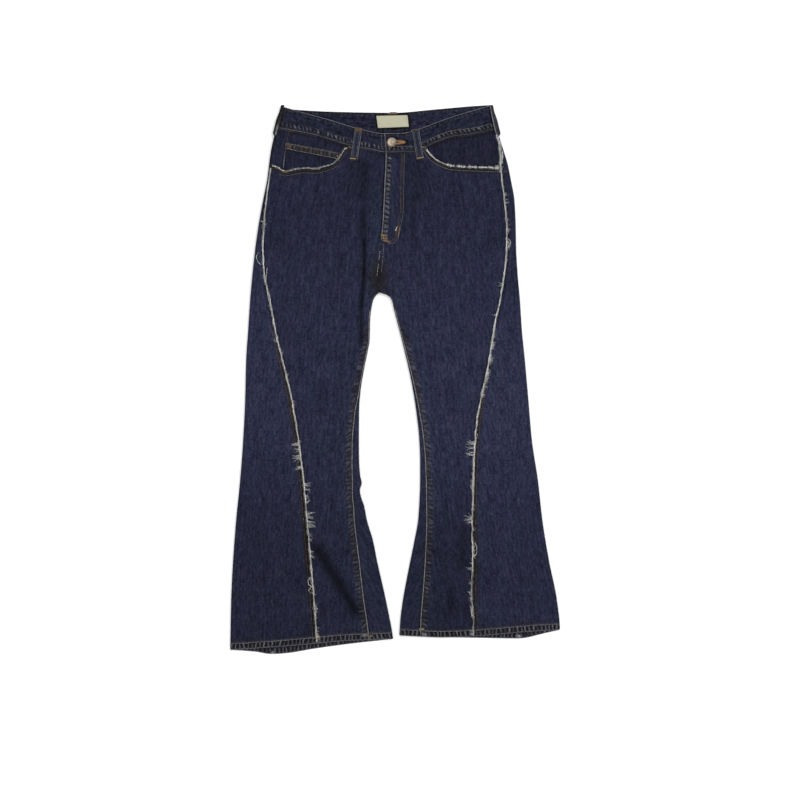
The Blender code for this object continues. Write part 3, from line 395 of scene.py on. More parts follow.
class Finish:
    """A material, with its shader's fixed numbers set on the shader itself."""

    def __init__(self, name, **fixed):
        self.material = bpy.data.materials.new(name)
        self.material.use_nodes = True
        self.tree = self.material.node_tree
        self.shader = self.tree.nodes["Principled BSDF"]
        for socket, value in fixed.items():
            self.shader.inputs[socket.replace("_", " ")].default_value = value

    def add(self, kind, settings=None, sockets=None, out=0):
        """Adds a node, then its settings, then the values or links of its sockets."""
        node = self.tree.nodes.new(kind)
        for key, value in (settings or {}).items():
            if key == "stops":
                for stop, _ in value[1:-1]:
                    node.color_ramp.elements.new(stop)
                for element, (stop, colour) in zip(node.color_ramp.elements, value):
                    element.position = stop
                    element.color = (*colour, 1.0)
            else:
                setattr(node, key, value)
        for key, value in (sockets or {}).items():
            if isinstance(value, Dye):
                self.tree.links.new(value.socket, node.inputs[key])
            else:
                node.inputs[key].default_value = value
        return Dye(self, node.outputs[out])

    def ends_in(self, **sockets):
        for key, value in sockets.items():
            self.tree.links.new(value.socket, self.shader.inputs[key.replace("_", " ")])
        return self.material

    def number(self, name):
        """One of the piece's own numbers, kept at its points."""
        return self.add("ShaderNodeAttribute", {"attribute_name": name}, out="Fac")

    def spot(self, across, along, third=0.0):
        return self.add("ShaderNodeCombineXYZ", {}, {0: across, 1: along, 2: third})

    def apart(self, vector):
        """A vector's three numbers."""
        split = self.add("ShaderNodeSeparateXYZ", {}, {0: vector})
        return [Dye(self, output) for output in split.socket.node.outputs]

    def in_mm(self, vector):
        return [value * 1000.0 for value in self.apart(vector)]

    def cloud(self, spot, scale=1.0, detail=2.0, rough=0.5):
        """Even noise about 0, mostly from -0.5 to 0.5."""
        sockets = {"Vector": spot, "Scale": scale, "Detail": detail, "Roughness": rough}
        return self.add("ShaderNodeTexNoise", {}, sockets) - 0.5

    def blend(self, share, start, end):
        """A colour between two, each fixed or linked."""
        settings = {"data_type": "RGBA", "clamp_factor": True}
        start, end = ((*c, 1.0) if isinstance(c, tuple) else c for c in (start, end))
        return self.add("ShaderNodeMix", settings, {0: share, 6: start, 7: end}, out=2)

    def tint(self, colour, factor):
        settings = {"data_type": "RGBA", "blend_type": "MULTIPLY"}
        grey = self.add("ShaderNodeCombineColor", {}, {0: factor, 1: factor, 2: factor})
        return self.add("ShaderNodeMix", settings, {0: 1.0, 6: colour, 7: grey}, out=2)

    def bumped(self, height, distance, strength=1.0):
        sockets = {"Height": height, "Distance": distance, "Strength": strength}
        return self.add("ShaderNodeBump", {}, sockets)


def puckers(finish, along, across, pitch, lean, slim, crooked=2.2):
    """Short ridges drawn up by a row of sewing: how high each stands, from 0 to 1."""
    wander = finish.cloud(finish.spot(along * 0.05, across * 0.05, lean), detail=1.0)
    kink = finish.cloud(finish.spot(along * 0.20, across * 0.30, lean + 4.0), detail=1.0)
    turn = along / pitch + across * (lean / pitch) + wander * crooked + kink * 0.5
    one = finish.add("ShaderNodeTexWhiteNoise", {"noise_dimensions": "1D"}, {"W": turn.whole()})
    ridge = 1.0 - abs(turn.part() * 2.0 - 1.0)
    return ridge.step(slim, slim + 0.5) * (one * 0.8 + 0.2)


def denim(name, warm, cool, pale, raised, hollow_shade, patchy, warp_along_band=False):
    """The cloth's finish: two deep tones and a rubbed one, pale on its ridges and patchy.

    raised is how much the ridges are rubbed, hollow_shade how dark the hollows between them are
    painted, as painted shade, and patchy how much the cloth's lightness changes from place to place.
    """
    finish = Finish(name, Roughness=0.9, Specular_IOR_Level=0.06, Sheen_Weight=0.03, Sheen_Roughness=0.5)
    across, along, _ = finish.in_mm(finish.add("ShaderNodeUVMap", {"uv_map": "cloth"}))
    if warp_along_band:
        across, along = along, across
    slub = finish.cloud(finish.spot(across * 0.26, along * 0.075), detail=3.0, rough=0.6)
    fleck = finish.cloud(finish.spot(across * 0.29, along * 0.27, 3.0), detail=2.0, rough=0.6)
    streak = finish.cloud(finish.spot(across * 0.20, along * 0.016, 9.0), detail=2.0)
    patch = finish.cloud(finish.spot(across * 0.15, along * 0.11, 5.0), detail=2.0) * patchy
    mottle = finish.cloud(finish.spot(across * 0.055, along * 0.030, 7.0), detail=3.0, rough=0.6)
    shift = finish.cloud(finish.spot(across * 0.045, along * 0.022, 11.0), detail=3.0, rough=0.7)
    twill = ((across * 0.8 + along * 0.55) * (2 * math.pi / 1.15)).sine()

    rope_down, rope_over = finish.number("rope_down"), finish.number("rope_over")
    if warp_along_band:
        down_ridge = puckers(finish, across, along, 8.0, 0.25, 0.35)
        over_ridge = puckers(finish, along, across, 7.8, 0.25, 0.42, 1.4)
    else:
        down_ridge = puckers(finish, along, across, 8.8, 0.35, 0.12, 1.8)
        over_ridge = puckers(finish, across, along, 7.2, 0.05, 0.46, 1.2)
    ridge = (down_ridge * rope_down).most(over_ridge * rope_over)
    # The hollows between the ridges are painted darker: painted shade, scaled by hollow_shade.
    hollow = rope_down.most(rope_over) - ridge

    # The tone and stain numbers carry the cloth's real tone, stains and wear, and also painted shade and
    # painted highlights along folds, in grooves, beside edges and round the button and label.
    wear, tone, stain = finish.number("wear"), finish.number("tone"), finish.number("stain")
    broken = (slub * 1.8 + fleck * 2.0 + 0.85).within()
    white_weft = (slub * 0.075 + fleck * 0.068 + streak * 0.035 + 0.024).within()
    weave = (slub * 1.05 + fleck * 1.0 + streak * 0.65 + mottle * 0.9 + patch + 1.0).most(0.2)
    light = (tone - hollow * hollow_shade + 1.0).most(0.1) * weave
    rubbed = (wear * broken).most(ridge * broken * (finish.number("polish") + raised))
    blue = finish.blend((shift * (1.1 + 0.6 * patchy) + finish.number("cool") + 0.5).within(), warm, cool)
    cloth = finish.blend(white_weft, blue, (0.25, 0.255, 0.275))
    # Stains and the painted shade of the hollows both blend the cloth towards this dark brown.
    body = finish.blend((stain + hollow * hollow_shade).within(), cloth, (0.0185, 0.0155, 0.0155))
    colour = finish.blend(rubbed, finish.tint(body, light), pale)
    relief = twill * 0.05 + slub * 0.18 + fleck * 0.25 + ridge * 0.8
    return finish.ends_in(Base_Color=colour, Normal=finish.bumped(relief, 0.001, 0.9))


leg_denim = denim(
    "denim",
    warm=(0.0088, 0.0070, 0.0262), cool=(0.0056, 0.0089, 0.0236), pale=(0.34, 0.35, 0.38),
    raised=0.02, hollow_shade=0.42, patchy=0.5,
)


def facing_out(points, flip):
    """Each point's way out of the cloth, square to its row and column."""
    normal = np.cross(np.gradient(points, axis=0), np.gradient(points, axis=1))
    size = np.linalg.norm(normal, axis=2, keepdims=True)
    return normal / np.maximum(size, 1e-12) * (-1 if flip else 1)


def make_cloth(name, points, up, thickness, numbers, spots, keep=None, fullness=1.0):
    """A closed thin wall under a net of points.

    up is 1 where the net faces up and -1 where it faces down, spots is each point's place in
    the flat cloth, and fullness is less than 1 where a folded edge rounds off.
    """
    rows, columns = points.shape[:2]
    flip = float((facing_out(points, False)[..., 2] * up).sum()) < 0
    out = facing_out(points, flip)
    thick = (np.broadcast_to(thickness, (rows, columns)) * MM)[..., None]
    full = np.broadcast_to(fullness, (rows, columns))[..., None]
    outside = points - out * thick * (1 - full) / 2
    inside = outside - out * thick * full
    count = rows * columns
    index = np.arange(count).reshape(rows, columns)
    quads = np.stack([index[:-1, :-1], index[1:, :-1], index[1:, 1:], index[:-1, 1:]], axis=-1)
    shown = np.ones(quads.shape[:2], bool)
    if keep is not None:
        shown = keep[:-1, :-1] & keep[1:, :-1] & keep[1:, 1:] & keep[:-1, 1:]
    quads = quads[shown]
    if flip:
        quads = quads[:, ::-1]
    edges = np.concatenate([quads[:, [i, (i + 1) % 4]] for i in range(4)])
    keys = edges.min(axis=1) * count + edges.max(axis=1)
    _, first, uses = np.unique(keys, return_index=True, return_counts=True)
    rim = edges[first[uses == 1]]
    walls = np.stack([rim[:, 1], rim[:, 0], rim[:, 0] + count, rim[:, 1] + count], axis=-1)
    faces = np.concatenate([quads, quads[:, ::-1] + count, walls])
    used = np.unique(faces)
    new_index = np.full(2 * count, -1)
    new_index[used] = np.arange(len(used))
    vertices = np.concatenate([outside.reshape(-1, 3), inside.reshape(-1, 3)])[used]
    mesh = bpy.data.meshes.new(name)
    mesh.from_pydata(vertices.tolist(), [], new_index[faces].tolist())
    mesh.polygons.foreach_set("use_smooth", np.ones(len(faces), bool))
    for key, value in numbers.items():
        grid = np.broadcast_to(value, (rows, columns)).reshape(-1)
        kept = np.concatenate([grid, grid])[used].astype(np.float32)
        mesh.attributes.new(key, "FLOAT", "POINT").data.foreach_set("value", kept)
    uv = np.stack([np.broadcast_to(p, (rows, columns)).reshape(-1) * MM for p in spots], axis=-1)
    uv = np.concatenate([uv, uv])[used]
    corners = np.zeros(len(mesh.loops), np.int32)
    mesh.loops.foreach_get("vertex_index", corners)
    mesh.uv_layers.new(name="cloth").data.foreach_set("uv", uv[corners].astype(np.float32).ravel())
    mesh.update()
    piece = bpy.data.objects.new(name, mesh)
    bpy.context.scene.collection.objects.link(piece)
    return piece


def finish_sheet(piece, points, node, material=leg_denim):
    """Gives a sheet its finish, sets it under the root and hides its part; its size goes unused."""
    piece.data.materials.append(material)
    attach(piece, "root")
    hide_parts(node)
    width = float(np.linalg.norm(np.diff(points, axis=1), axis=2).sum(axis=1).max())
    length = float(np.linalg.norm(np.diff(points, axis=0), axis=2).sum(axis=0).max())
    a, b = np.diff(points, axis=0)[:, :-1], np.diff(points, axis=1)[:-1]
    area = float(np.linalg.norm(np.cross(a, b), axis=2).sum())
    area = min(max(area, 0.31 * width * length), width * length)
    return piece


FACING_DEPTH = 12.0
facing_tone = {"right": -0.20, "left": -0.32}
facings = {}
for leg in (RIGHT, LEFT):
    level = np.linspace(0, 1, 26)[:, None]
    share = np.linspace(0, 1, 84)[None, :]
    down = np.full((26, 84), 80.0)
    for _ in range(9):
        start = leg.seam(down) + SEAM
        end = section_length(leg, down) - np.abs(leg.pocket_end - middle(down))
        path = lerp(start, end, share)
        x, z, _ = section(leg, down, path)
        top = front_band_seam(x) + BAND_GAP
        bottom = np.maximum(leg.pocket(x), top) + FACING_DEPTH
        down = lerp(top, bottom, level)
    x, z, _ = section(leg, down, path)
    below_band = down - top
    points = place(x, down, z + lift(down))
    # Painted shade on the facing beside the pocket mouth's raw edge and just under the waistband's edge.
    tone = facing_tone[leg.name] - 0.35 * hill(bottom - down - FACING_DEPTH, 5.0)
    numbers = {
        "wear": 0.06 * hill(below_band, 0.9),
        "tone": tone - 0.25 * hill(below_band - 2.4, 1.2),
        "stain": 0.4 * hill(below_band - 2.2, 1.4),
        "cool": -0.15 + 0.3 * hill(below_band - 20.0, 12.0),
        "rope_over": between(below_band, 1.0, 8.0, 3.0) * 0.45,
    }
    piece = make_cloth(f"facing_{leg.name}_cloth", points, 1, CLOTH, numbers, (x, down))
    facings[leg.name] = finish_sheet(piece, points, f"facing_{leg.name}")

# ---- Coin pocket -------------------------------------------------------------------------
# A small patch of the same denim on the right facing. Its top edge is turned under and sewn
# with two rows that rope the cloth between them, and its lower end is inside the pocket.

COIN_LEFT, COIN_RIGHT = -196.0, -98.0
COIN_HEM = 13.0
share = np.linspace(0, 1, 64)[None, :]
from_top = np.array([0.0, 0.5, 1.1, 2.0, 3.2, 4.6, 6.0, 7.4, 8.8, 10.2, 11.6, COIN_HEM])[:, None]
x = lerp(COIN_LEFT, COIN_RIGHT, share) + 0 * from_top
top = lerp(69.5, 88.5, share)
bottom = RIGHT.pocket(x) + 9.0
down = np.concatenate([top + from_top, lerp(top + COIN_HEM, bottom[:1], np.linspace(0, 1, 19)[1:, None])])
x = np.broadcast_to(x[:1], down.shape)
from_top = down - top
rope = between(from_top, 2.6, 10.6, 2.0) * between(x, -184.0, -104.0, 8.0)
ripple = 0.2 * np.sin(x * 0.9 + 1.2 * np.sin(x * 0.21)) * rope
z = front_height(RIGHT, x, down, FLAT_HEIGHT) + LAP + lift(down) + ripple
points = place(x, down, z)
numbers = {
    "wear": 0.16 * hill(from_top, 0.8),
    "tone": -0.32 - 0.55 * hill(from_top, 1.0) + 0.48 * rope - 0.45 * hill(from_top - COIN_HEM, 1.3),
    "stain": 0.55 * between(from_top, 0.5, 12.0, 2.0),
    "rope_over": rope,
    "polish": 0.18 * rope,
}
fullness = rounded(from_top, 1.1)
coin_pocket = make_cloth("coin_pocket_cloth", points, 1, CLOTH, numbers, (x, down), fullness=fullness)
finish_sheet(coin_pocket, points, "coin_pocket")

# ---- Front panels ------------------------------------------------------------------------
# Two fronts of the same denim. The outer edges and pocket mouths are left raw, the inner edges
# are felled to the backs, the hems are turned up once, and the left front carries the fly.

UPPER_END = 130.0
SHIN_END = 890.0
HEM_WIDTH = 12.0
ABOVE_HEM = HEM_WIDTH + 1.5
HEM_CLOTH = 2 * CLOTH
HEM_HEIGHT = 2 * HEM_CLOTH + GAP
FLY_END = 246.0
FLY_WIDTH = 34.0
HEM_ROWS = (HEM_WIDTH, 10.6, 9.2, 7.6, 6.0, 4.4, 3.0, 1.9, 1.0, 0.4, 0.0)


def panel_rows(upper, step, lower):
    """Rows from a panel's top edge to its hem, each as (level, share of top, share of hem)."""
    rows = [(UPPER_END * t, 1 - t, 0.0) for t in np.linspace(0, 1, upper, endpoint=False)]
    for start, end in ((UPPER_END, CROTCH), (CROTCH, SHIN_END)):
        count = round((end - start) / step)
        rows += [(down, 0.0, 0.0) for down in np.linspace(start, end, count, endpoint=False)]
    for t in np.linspace(0, 1, lower, endpoint=False):
        rows.append(((1 - t) * SHIN_END - t * ABOVE_HEM, 0.0, t))
    rows.append((-ABOVE_HEM, 0.0, 1.0))
    rows += [(-from_edge, 0.0, 1.0) for from_edge in HEM_ROWS]
    return np.array(rows)


class Laid:
    """A panel laid on its leg: where each point of its net of rows and columns comes to."""

    def __init__(self, leg, rows, columns, top):
        level, of_top, of_hem = (rows[:, i : i + 1] for i in range(3))
        guess = level + of_top * 60.0 + of_hem * leg.front_hem(leg.side * 150.0)
        self.down = guess + np.zeros((1, columns(guess).shape[1]))
        for _ in range(7):
            self.path = columns(self.down)
            self.x, _, self.front = section(leg, self.down, self.path)
            self.hem = np.where(self.front, leg.front_hem(self.x), leg.back_hem(self.x))
            self.top = top(self.x, self.front)
            self.down = level + of_top * self.top + of_hem * self.hem
        self.path = columns(self.down)
        near_hem = ease((self.down - (leg.front_hem(self.x) - HEM_WIDTH - 32.0)) / 32.0)
        self.rest = lerp(FLAT_HEIGHT, HEM_HEIGHT, near_hem)
        self.x, self.z, self.front = section(leg, self.down, self.path, self.rest)
        self.z = self.z + lift(self.down)
        self.from_hem = self.hem - self.down
        self.from_top = self.down - self.top
        self.cloth = np.where(self.from_hem <= HEM_WIDTH + 0.01, HEM_CLOTH, CLOTH)
        self.up = np.where(self.front, 1.0, -1.0)

    def hem_roping(self):
        """The turned-up hem ropes between its fold and its row of stitches."""
        above = 0.35 * between(self.from_hem, 12.4, 19.0, 4.0)
        ropes = np.maximum(between(self.from_hem, 1.2, 10.4, 1.5), above)
        groove = 0.45 * hill(self.from_hem - 10.9, 0.9)
        skew = self.x * 0.52 + self.from_hem * 0.22
        skew = skew + 0.9 * np.sin(self.x * 0.13) + 0.6 * np.sin(self.x * 0.041)
        return ropes, 0.28 * ropes * np.sin(skew) - groove

    def hem_wear(self):
        edge = 0.36 * hill(self.from_hem, 1.1)
        return np.maximum(edge, 0.10 * hill(self.from_hem - 12.4, 0.8))

    def hem_stain(self):
        return 0.25 * between(self.from_hem, 0.8, 11.0, 1.5)

    def hem_polish(self):
        return 0.30 * between(self.from_hem, 0.0, 11.0, 1.5)

    def hem_fullness(self):
        return rounded(self.from_hem, 1.3, 0.3)


def front_top(leg):
    """The top edge of a front: the waistband's seam, then the pocket's mouth."""

    def line(x, _front=True):
        past_pocket = (x - leg.pocket_end) * leg.side > 0
        band = front_band_seam(x) + BAND_GAP
        return np.where(past_pocket, np.maximum(leg.pocket(x), band), band)

    return line


def front_rise(leg, x, down, top):
    """The front's extra height over its pocket's layers."""
    into_pocket = (x - leg.pocket_end) * leg.side
    lapped = 1 - ease((down - top - 24.0) / 24.0)
    height = LAP * lapped * ease((into_pocket + 48.0) / 22.0)
    if leg is RIGHT:
        into_coin = (x - COIN_RIGHT) * leg.side
        coin = ease((into_coin + 44.0) / 18.0) * (1 - ease((COIN_LEFT - x) / 18.0 - 1.1))
        height = height + LAP * lapped * coin
    return height


def fly_share(x, down):
    """How far a place of the left front is inside the doubled fly, from 0 to 1."""
    from_edge = x - middle(np.minimum(down, CROTCH))
    bottom = FLY_END - FLY_WIDTH * 0.6 * (from_edge / FLY_WIDTH) ** 2
    return (1 - ease((from_edge - FLY_WIDTH) / 14.0)) * (1 - ease((down - bottom) / 14.0))


# The painted shade and painted highlights laid along the folds, from the last column of FOLDS.
def fold_painted_light(x, down):
    return sum(fold[6] * along_fold(fold, x, down) for fold in FOLDS if fold[6])


def crotch_patch(x, down):
    """Where the four inner seams meet, felled thick and gone brown."""
    return hill(np.hypot((x + 29.5) / 15.0, (down - 313.0) / 29.0), 1.0)


def raw_seam_end(x, down):
    """The white ends of each side seam's cloth where they show in the back hem."""
    right = np.hypot(x + 219.8, (down - 989.0) / 2.4)
    left = np.hypot(x - 225.0, (down - 959.0) / 2.0)
    return hill(np.minimum(right, left), 1.1)


front_tone = {
    "right": Line(
        (0, -0.14), (120, -0.11), (220, -0.08), (330, 0.06), (480, 0.08), (600, 0.06), (700, -0.02),
        (800, -0.14), (990, -0.16),
    ),
    "left": Line(
        (0, -0.14), (120, -0.12), (220, -0.06), (330, 0.10), (480, 0.22), (600, 0.24), (700, 0.02),
        (800, -0.22), (990, -0.28),
    ),
}
near_edge = np.array([0.0, 0.6, 1.4, 2.6, 4.2, 6.2, 9.0])
fronts = {}
for leg in (RIGHT, LEFT):

    def front_start(down, leg=leg):
        return leg.seam(down) + SEAM

    def front_end(down, leg=leg):
        gap = SEAM + 0.5 * (1 - ease((down - CROTCH) / 8.0))
        length = section_length(leg, down)
        return np.where(down < CROTCH, length, length - leg.inseam(down) - gap)

    def front_net(down):
        start, end = front_start(down), front_end(down)
        evenly = np.linspace(0, 1, 60)[1:-1]
        share = np.concatenate([0 * near_edge, evenly, 0 * near_edge + 1])[None, :]
        inset = np.concatenate([near_edge, lerp(9.0, -9.0, evenly), -near_edge[::-1]])[None, :]
        return lerp(start, end, share) + inset

    net = Laid(leg, panel_rows(20, 3.0, 24), front_net, front_top(leg))
    x, down = net.x, net.down
    start, end = front_start(down), front_end(down)
    from_seam, from_inner = net.path - start, end - net.path
    above_crotch = 1 - ease((down - 335.0) / 12.0)
    below_crotch = 1 - above_crotch
    rise = front_rise(leg, x, down, net.top)
    thicker, fly = 0.0, 0.0 * x
    if leg is LEFT:
        fly = fly_share(x, down)
        thicker = CLOTH * fly
        rise = rise + thicker
    in_waist = 1 - ease(((x - leg.pocket_end) * leg.side + 6.0) / 10.0)
    hem_ropes, hem_relief = net.hem_roping()
    felled = 0.5 * between(from_inner, -1.0, 7.2) * below_crotch
    ripple = 0.22 * np.sin(down * 0.70 - from_inner * 0.35 + 1.1 * np.sin(down * 0.17))
    ripple = ripple * between(from_inner, 5.0, 14.0, 3.0)
    ripple = ripple * (below_crotch if leg is RIGHT else np.maximum(below_crotch, fly))
    points = place(x, down, net.z + rise + hem_relief + felled + ripple)

    inseam_ropes = between(from_inner, 3.2, 12.8, 3.6) * ease((down - 380.0) / 60.0)
    rise_ropes = between(from_inner, 1.0, 8.0, 2.0) * ease((down - 250.0) / 8.0) * above_crotch * 0.2
    fly_ropes, fly_edge = 0.0, 0.0
    if leg is LEFT:
        fly_ropes = between(from_inner, 2.6, 11.0, 2.5) * (1 - ease((down - 236.0) / 8.0))
        fly_ropes = fly_ropes * ease((down - 92.0) / 6.0)
        fly_edge = 0.90 * hill(from_inner, 0.95) * (1 - ease((down - 240.0) / 6.0))
    seam_ropes = between(from_seam, 3.0, 9.0, 2.5) * 0.12 * ease((down - 300.0) / 100.0)
    waist_ropes = between(net.from_top, 0.5, 9.0, 3.0) * in_waist * 0.4
    pocket_ropes = between(net.from_top, 4.0, 12.0, 3.0) * (1 - in_waist) * 0.3
    inseam_wear = 0.16 * hill(from_inner - 0.6, 1.0) * below_crotch
    waist_wear = 0.045 * hill(net.from_top, 0.9) * in_waist
    raw_mouth = 1 - in_waist
    # groove marks a line of painted shade beside the inseam's row of stitches.
    groove = hill(from_inner - 3.4, 1.2) * ease((down - 372.0) / 40.0)
    crotch = crotch_patch(x, down)
    tone = front_tone[leg.name](down) + fold_painted_light(x, down) - 0.64 * crotch - 0.5 * groove
    tone = tone - 0.35 * hill(from_inner, 2.6) * between(down, 336.0, 380.0, 12.0)
    cool = 0.25 * between(from_inner, 12.0, 34.0, 12.0) * below_crotch
    beside_fly = 1 - ease((down - 240.0) / 12.0)
    if leg is RIGHT:
        lit = hill(x + 34.0, 9.0) * between(down, 155.0, 345.0, 60.0)
        # Painted shade along the right front under the edge of the fly.
        tone = tone + 0.16 * lit - 0.80 * hill(from_inner - 0.6, 1.8) * beside_fly
        cool = cool + 0.8 * lit
    else:
        lit = hill(from_inner - 15.0, 4.0) - hill(from_inner - 37.0, 6.0)
        lit = lit * between(down, 100.0, 236.0, 40.0)
        tone = tone + 0.26 * lit - 0.35 * hill(from_inner - 3.0, 1.0) * beside_fly
        cool = cool + 0.6 * np.abs(lit)
    # Painted shade in the hem's stitch groove and under the raw edge of the pocket mouth, and on the next
    # line beside the frayed seam. The brown band below the mouth is partly stain, partly painted shade.
    tone = tone - 0.35 * hill(net.from_hem - 10.0, 1.3) - 0.70 * hill(net.from_top - 3.6, 1.7) * raw_mouth
    tone = tone - 0.45 * hill(from_seam - 0.8, 1.3)
    tone = tone + 0.12 * between(from_inner, -2, 16.0, 6.0) * ease((down - 420.0) / 80.0)
    mouth_stain_and_shade = 0.9 * hill(net.from_top - 4.4, 2.6) * raw_mouth
    numbers = {
        "wear": most(fly_edge, net.hem_wear(), inseam_wear, waist_wear),
        "tone": tone,
        "stain": most(net.hem_stain(), mouth_stain_and_shade, 0.85 * crotch, 0.6 * groove),
        "cool": cool,
        "rope_down": most(inseam_ropes, rise_ropes, fly_ropes, seam_ropes),
        "rope_over": most(hem_ropes, waist_ropes, pocket_ropes),
        "polish": np.maximum(net.hem_polish(), 0.28 * np.minimum(fly_ropes, 1.0) + 0.07 * inseam_ropes),
    }
    fullness = net.hem_fullness()
    if leg is LEFT:
        folded = rounded(from_inner, 1.2, 0.3)
        fullness = np.minimum(fullness, np.where(down < FLY_END, folded, 1.0))
    piece = make_cloth(
        f"front_{leg.name}_cloth", points, net.up, net.cloth + thicker, numbers, (net.path, down),
        fullness=fullness,
    )
    fronts[leg.name] = finish_sheet(piece, points, f"front_{leg.name}")

# ---- Side panels -------------------------------------------------------------------------
# A long flared panel on each outer side, sewn under the front's raw edge. It runs round the
# outer fold and back underneath to a plain seam.

back_band_seam = Line(
    (-214, 43.2), (-184, 48.5), (-98, 53.0), (-3, 54.5), (73, 49.5), (143, 45.5), (185, 45.0)
)
side_tone = {
    "right": Line(
        (0, -0.08), (200, 0.0), (330, 0.24), (420, 0.28), (520, 0.26), (640, 0.10), (760, -0.14),
        (990, -0.24),
    ),
    "left": Line(
        (0, -0.12), (200, -0.10), (330, 0.04), (420, 0.32), (520, 0.40), (640, 0.28), (760, 0.06),
        (990, -0.08),
    ),
}
# Where the seam's rows of stitches start to draw the side panel in, and how softly.
SEWN_FROM = {"right": (400.0, 110.0), "left": (435.0, 60.0)}
sides = {}
for leg in (RIGHT, LEFT):

    def side_net(down, leg=leg):
        over = np.array([1.0, 0.985, 0.965, 0.94, 0.91, 0.87, *np.linspace(0.82, 0.05, 30), 0.025])
        share = np.concatenate([over, np.zeros(21)])[None, :]
        turn = np.concatenate([over * 0 + 1, np.linspace(1, 0, 5), np.zeros(16)])[None, :]
        under = np.concatenate([np.zeros(len(over) + 5), np.linspace(0, 1, 17)[1:]])[None, :]
        reach = leg.seam(down) - SEAM
        over_front = lerp(np.minimum(FOLD_ARC, reach * 0.97), reach, share)
        return over_front * turn - leg.back_seam(down) * under

    def side_top(x, front):
        return np.where(front, front_band_seam(x), back_band_seam(x)) + BAND_GAP

    net = Laid(leg, panel_rows(14, 4.0, 18), side_net, side_top)
    x, down = net.x, net.down
    from_seam = leg.seam(down) - SEAM - net.path
    on_top = ease(net.path / 6.0)
    hem_ropes, hem_relief = net.hem_roping()
    trench = 0.30 * hill(from_seam - 3.2, 1.5) * ease((down - 300.0) / 40.0)
    points = place(x, down, net.z + (hem_relief - trench) * on_top)
    sewn_start, sewn_soft = SEWN_FROM[leg.name]
    sewn = between(from_seam, 1.0, 8.6, 1.6) * ease((down - sewn_start) / sewn_soft)
    fold_wear = 0.08 * hill(net.path, 2.0) * ease((300.0 - down) / 60.0)
    # Painted shade in the hem's stitch groove, in the trench beside the frayed seam and where the cloth
    # turns over the outer fold; the sewn band beside the seam is darker and browner.
    tone = side_tone[leg.name](down) + fold_painted_light(x, down) - 0.35 * hill(net.from_hem - 10.0, 1.3)
    tone = tone - 0.80 * hill(from_seam - 2.6, 1.6) - 0.35 * sewn - 0.22 * hill(net.path - 0.5, 2.6)
    numbers = {
        "wear": np.maximum(net.hem_wear() + 0.9 * raw_seam_end(x, down), fold_wear),
        "tone": tone,
        "stain": most(net.hem_stain(), 0.75 * sewn, 0.6 * hill(from_seam - 1.8, 1.5)),
        "cool": 0.15 * hill(from_seam - 16.0, 8.0),
        "rope_down": sewn * 0.45,
        "rope_over": hem_ropes,
        "polish": net.hem_polish(),
    }
    piece = make_cloth(
        f"side_{leg.name}_cloth", points, net.up, net.cloth, numbers, (net.path, down),
        fullness=net.hem_fullness(),
    )
    sides[leg.name] = finish_sheet(piece, points, f"side_{leg.name}")

# ---- Yokes and backs ---------------------------------------------------------------------
# Hidden under the garment: a yoke and a back on each side, which stand twice SEAM apart along
# the middle. Below the crotch the back comes round the inner fold, and shows on top as a strip
# as far as the inseam.

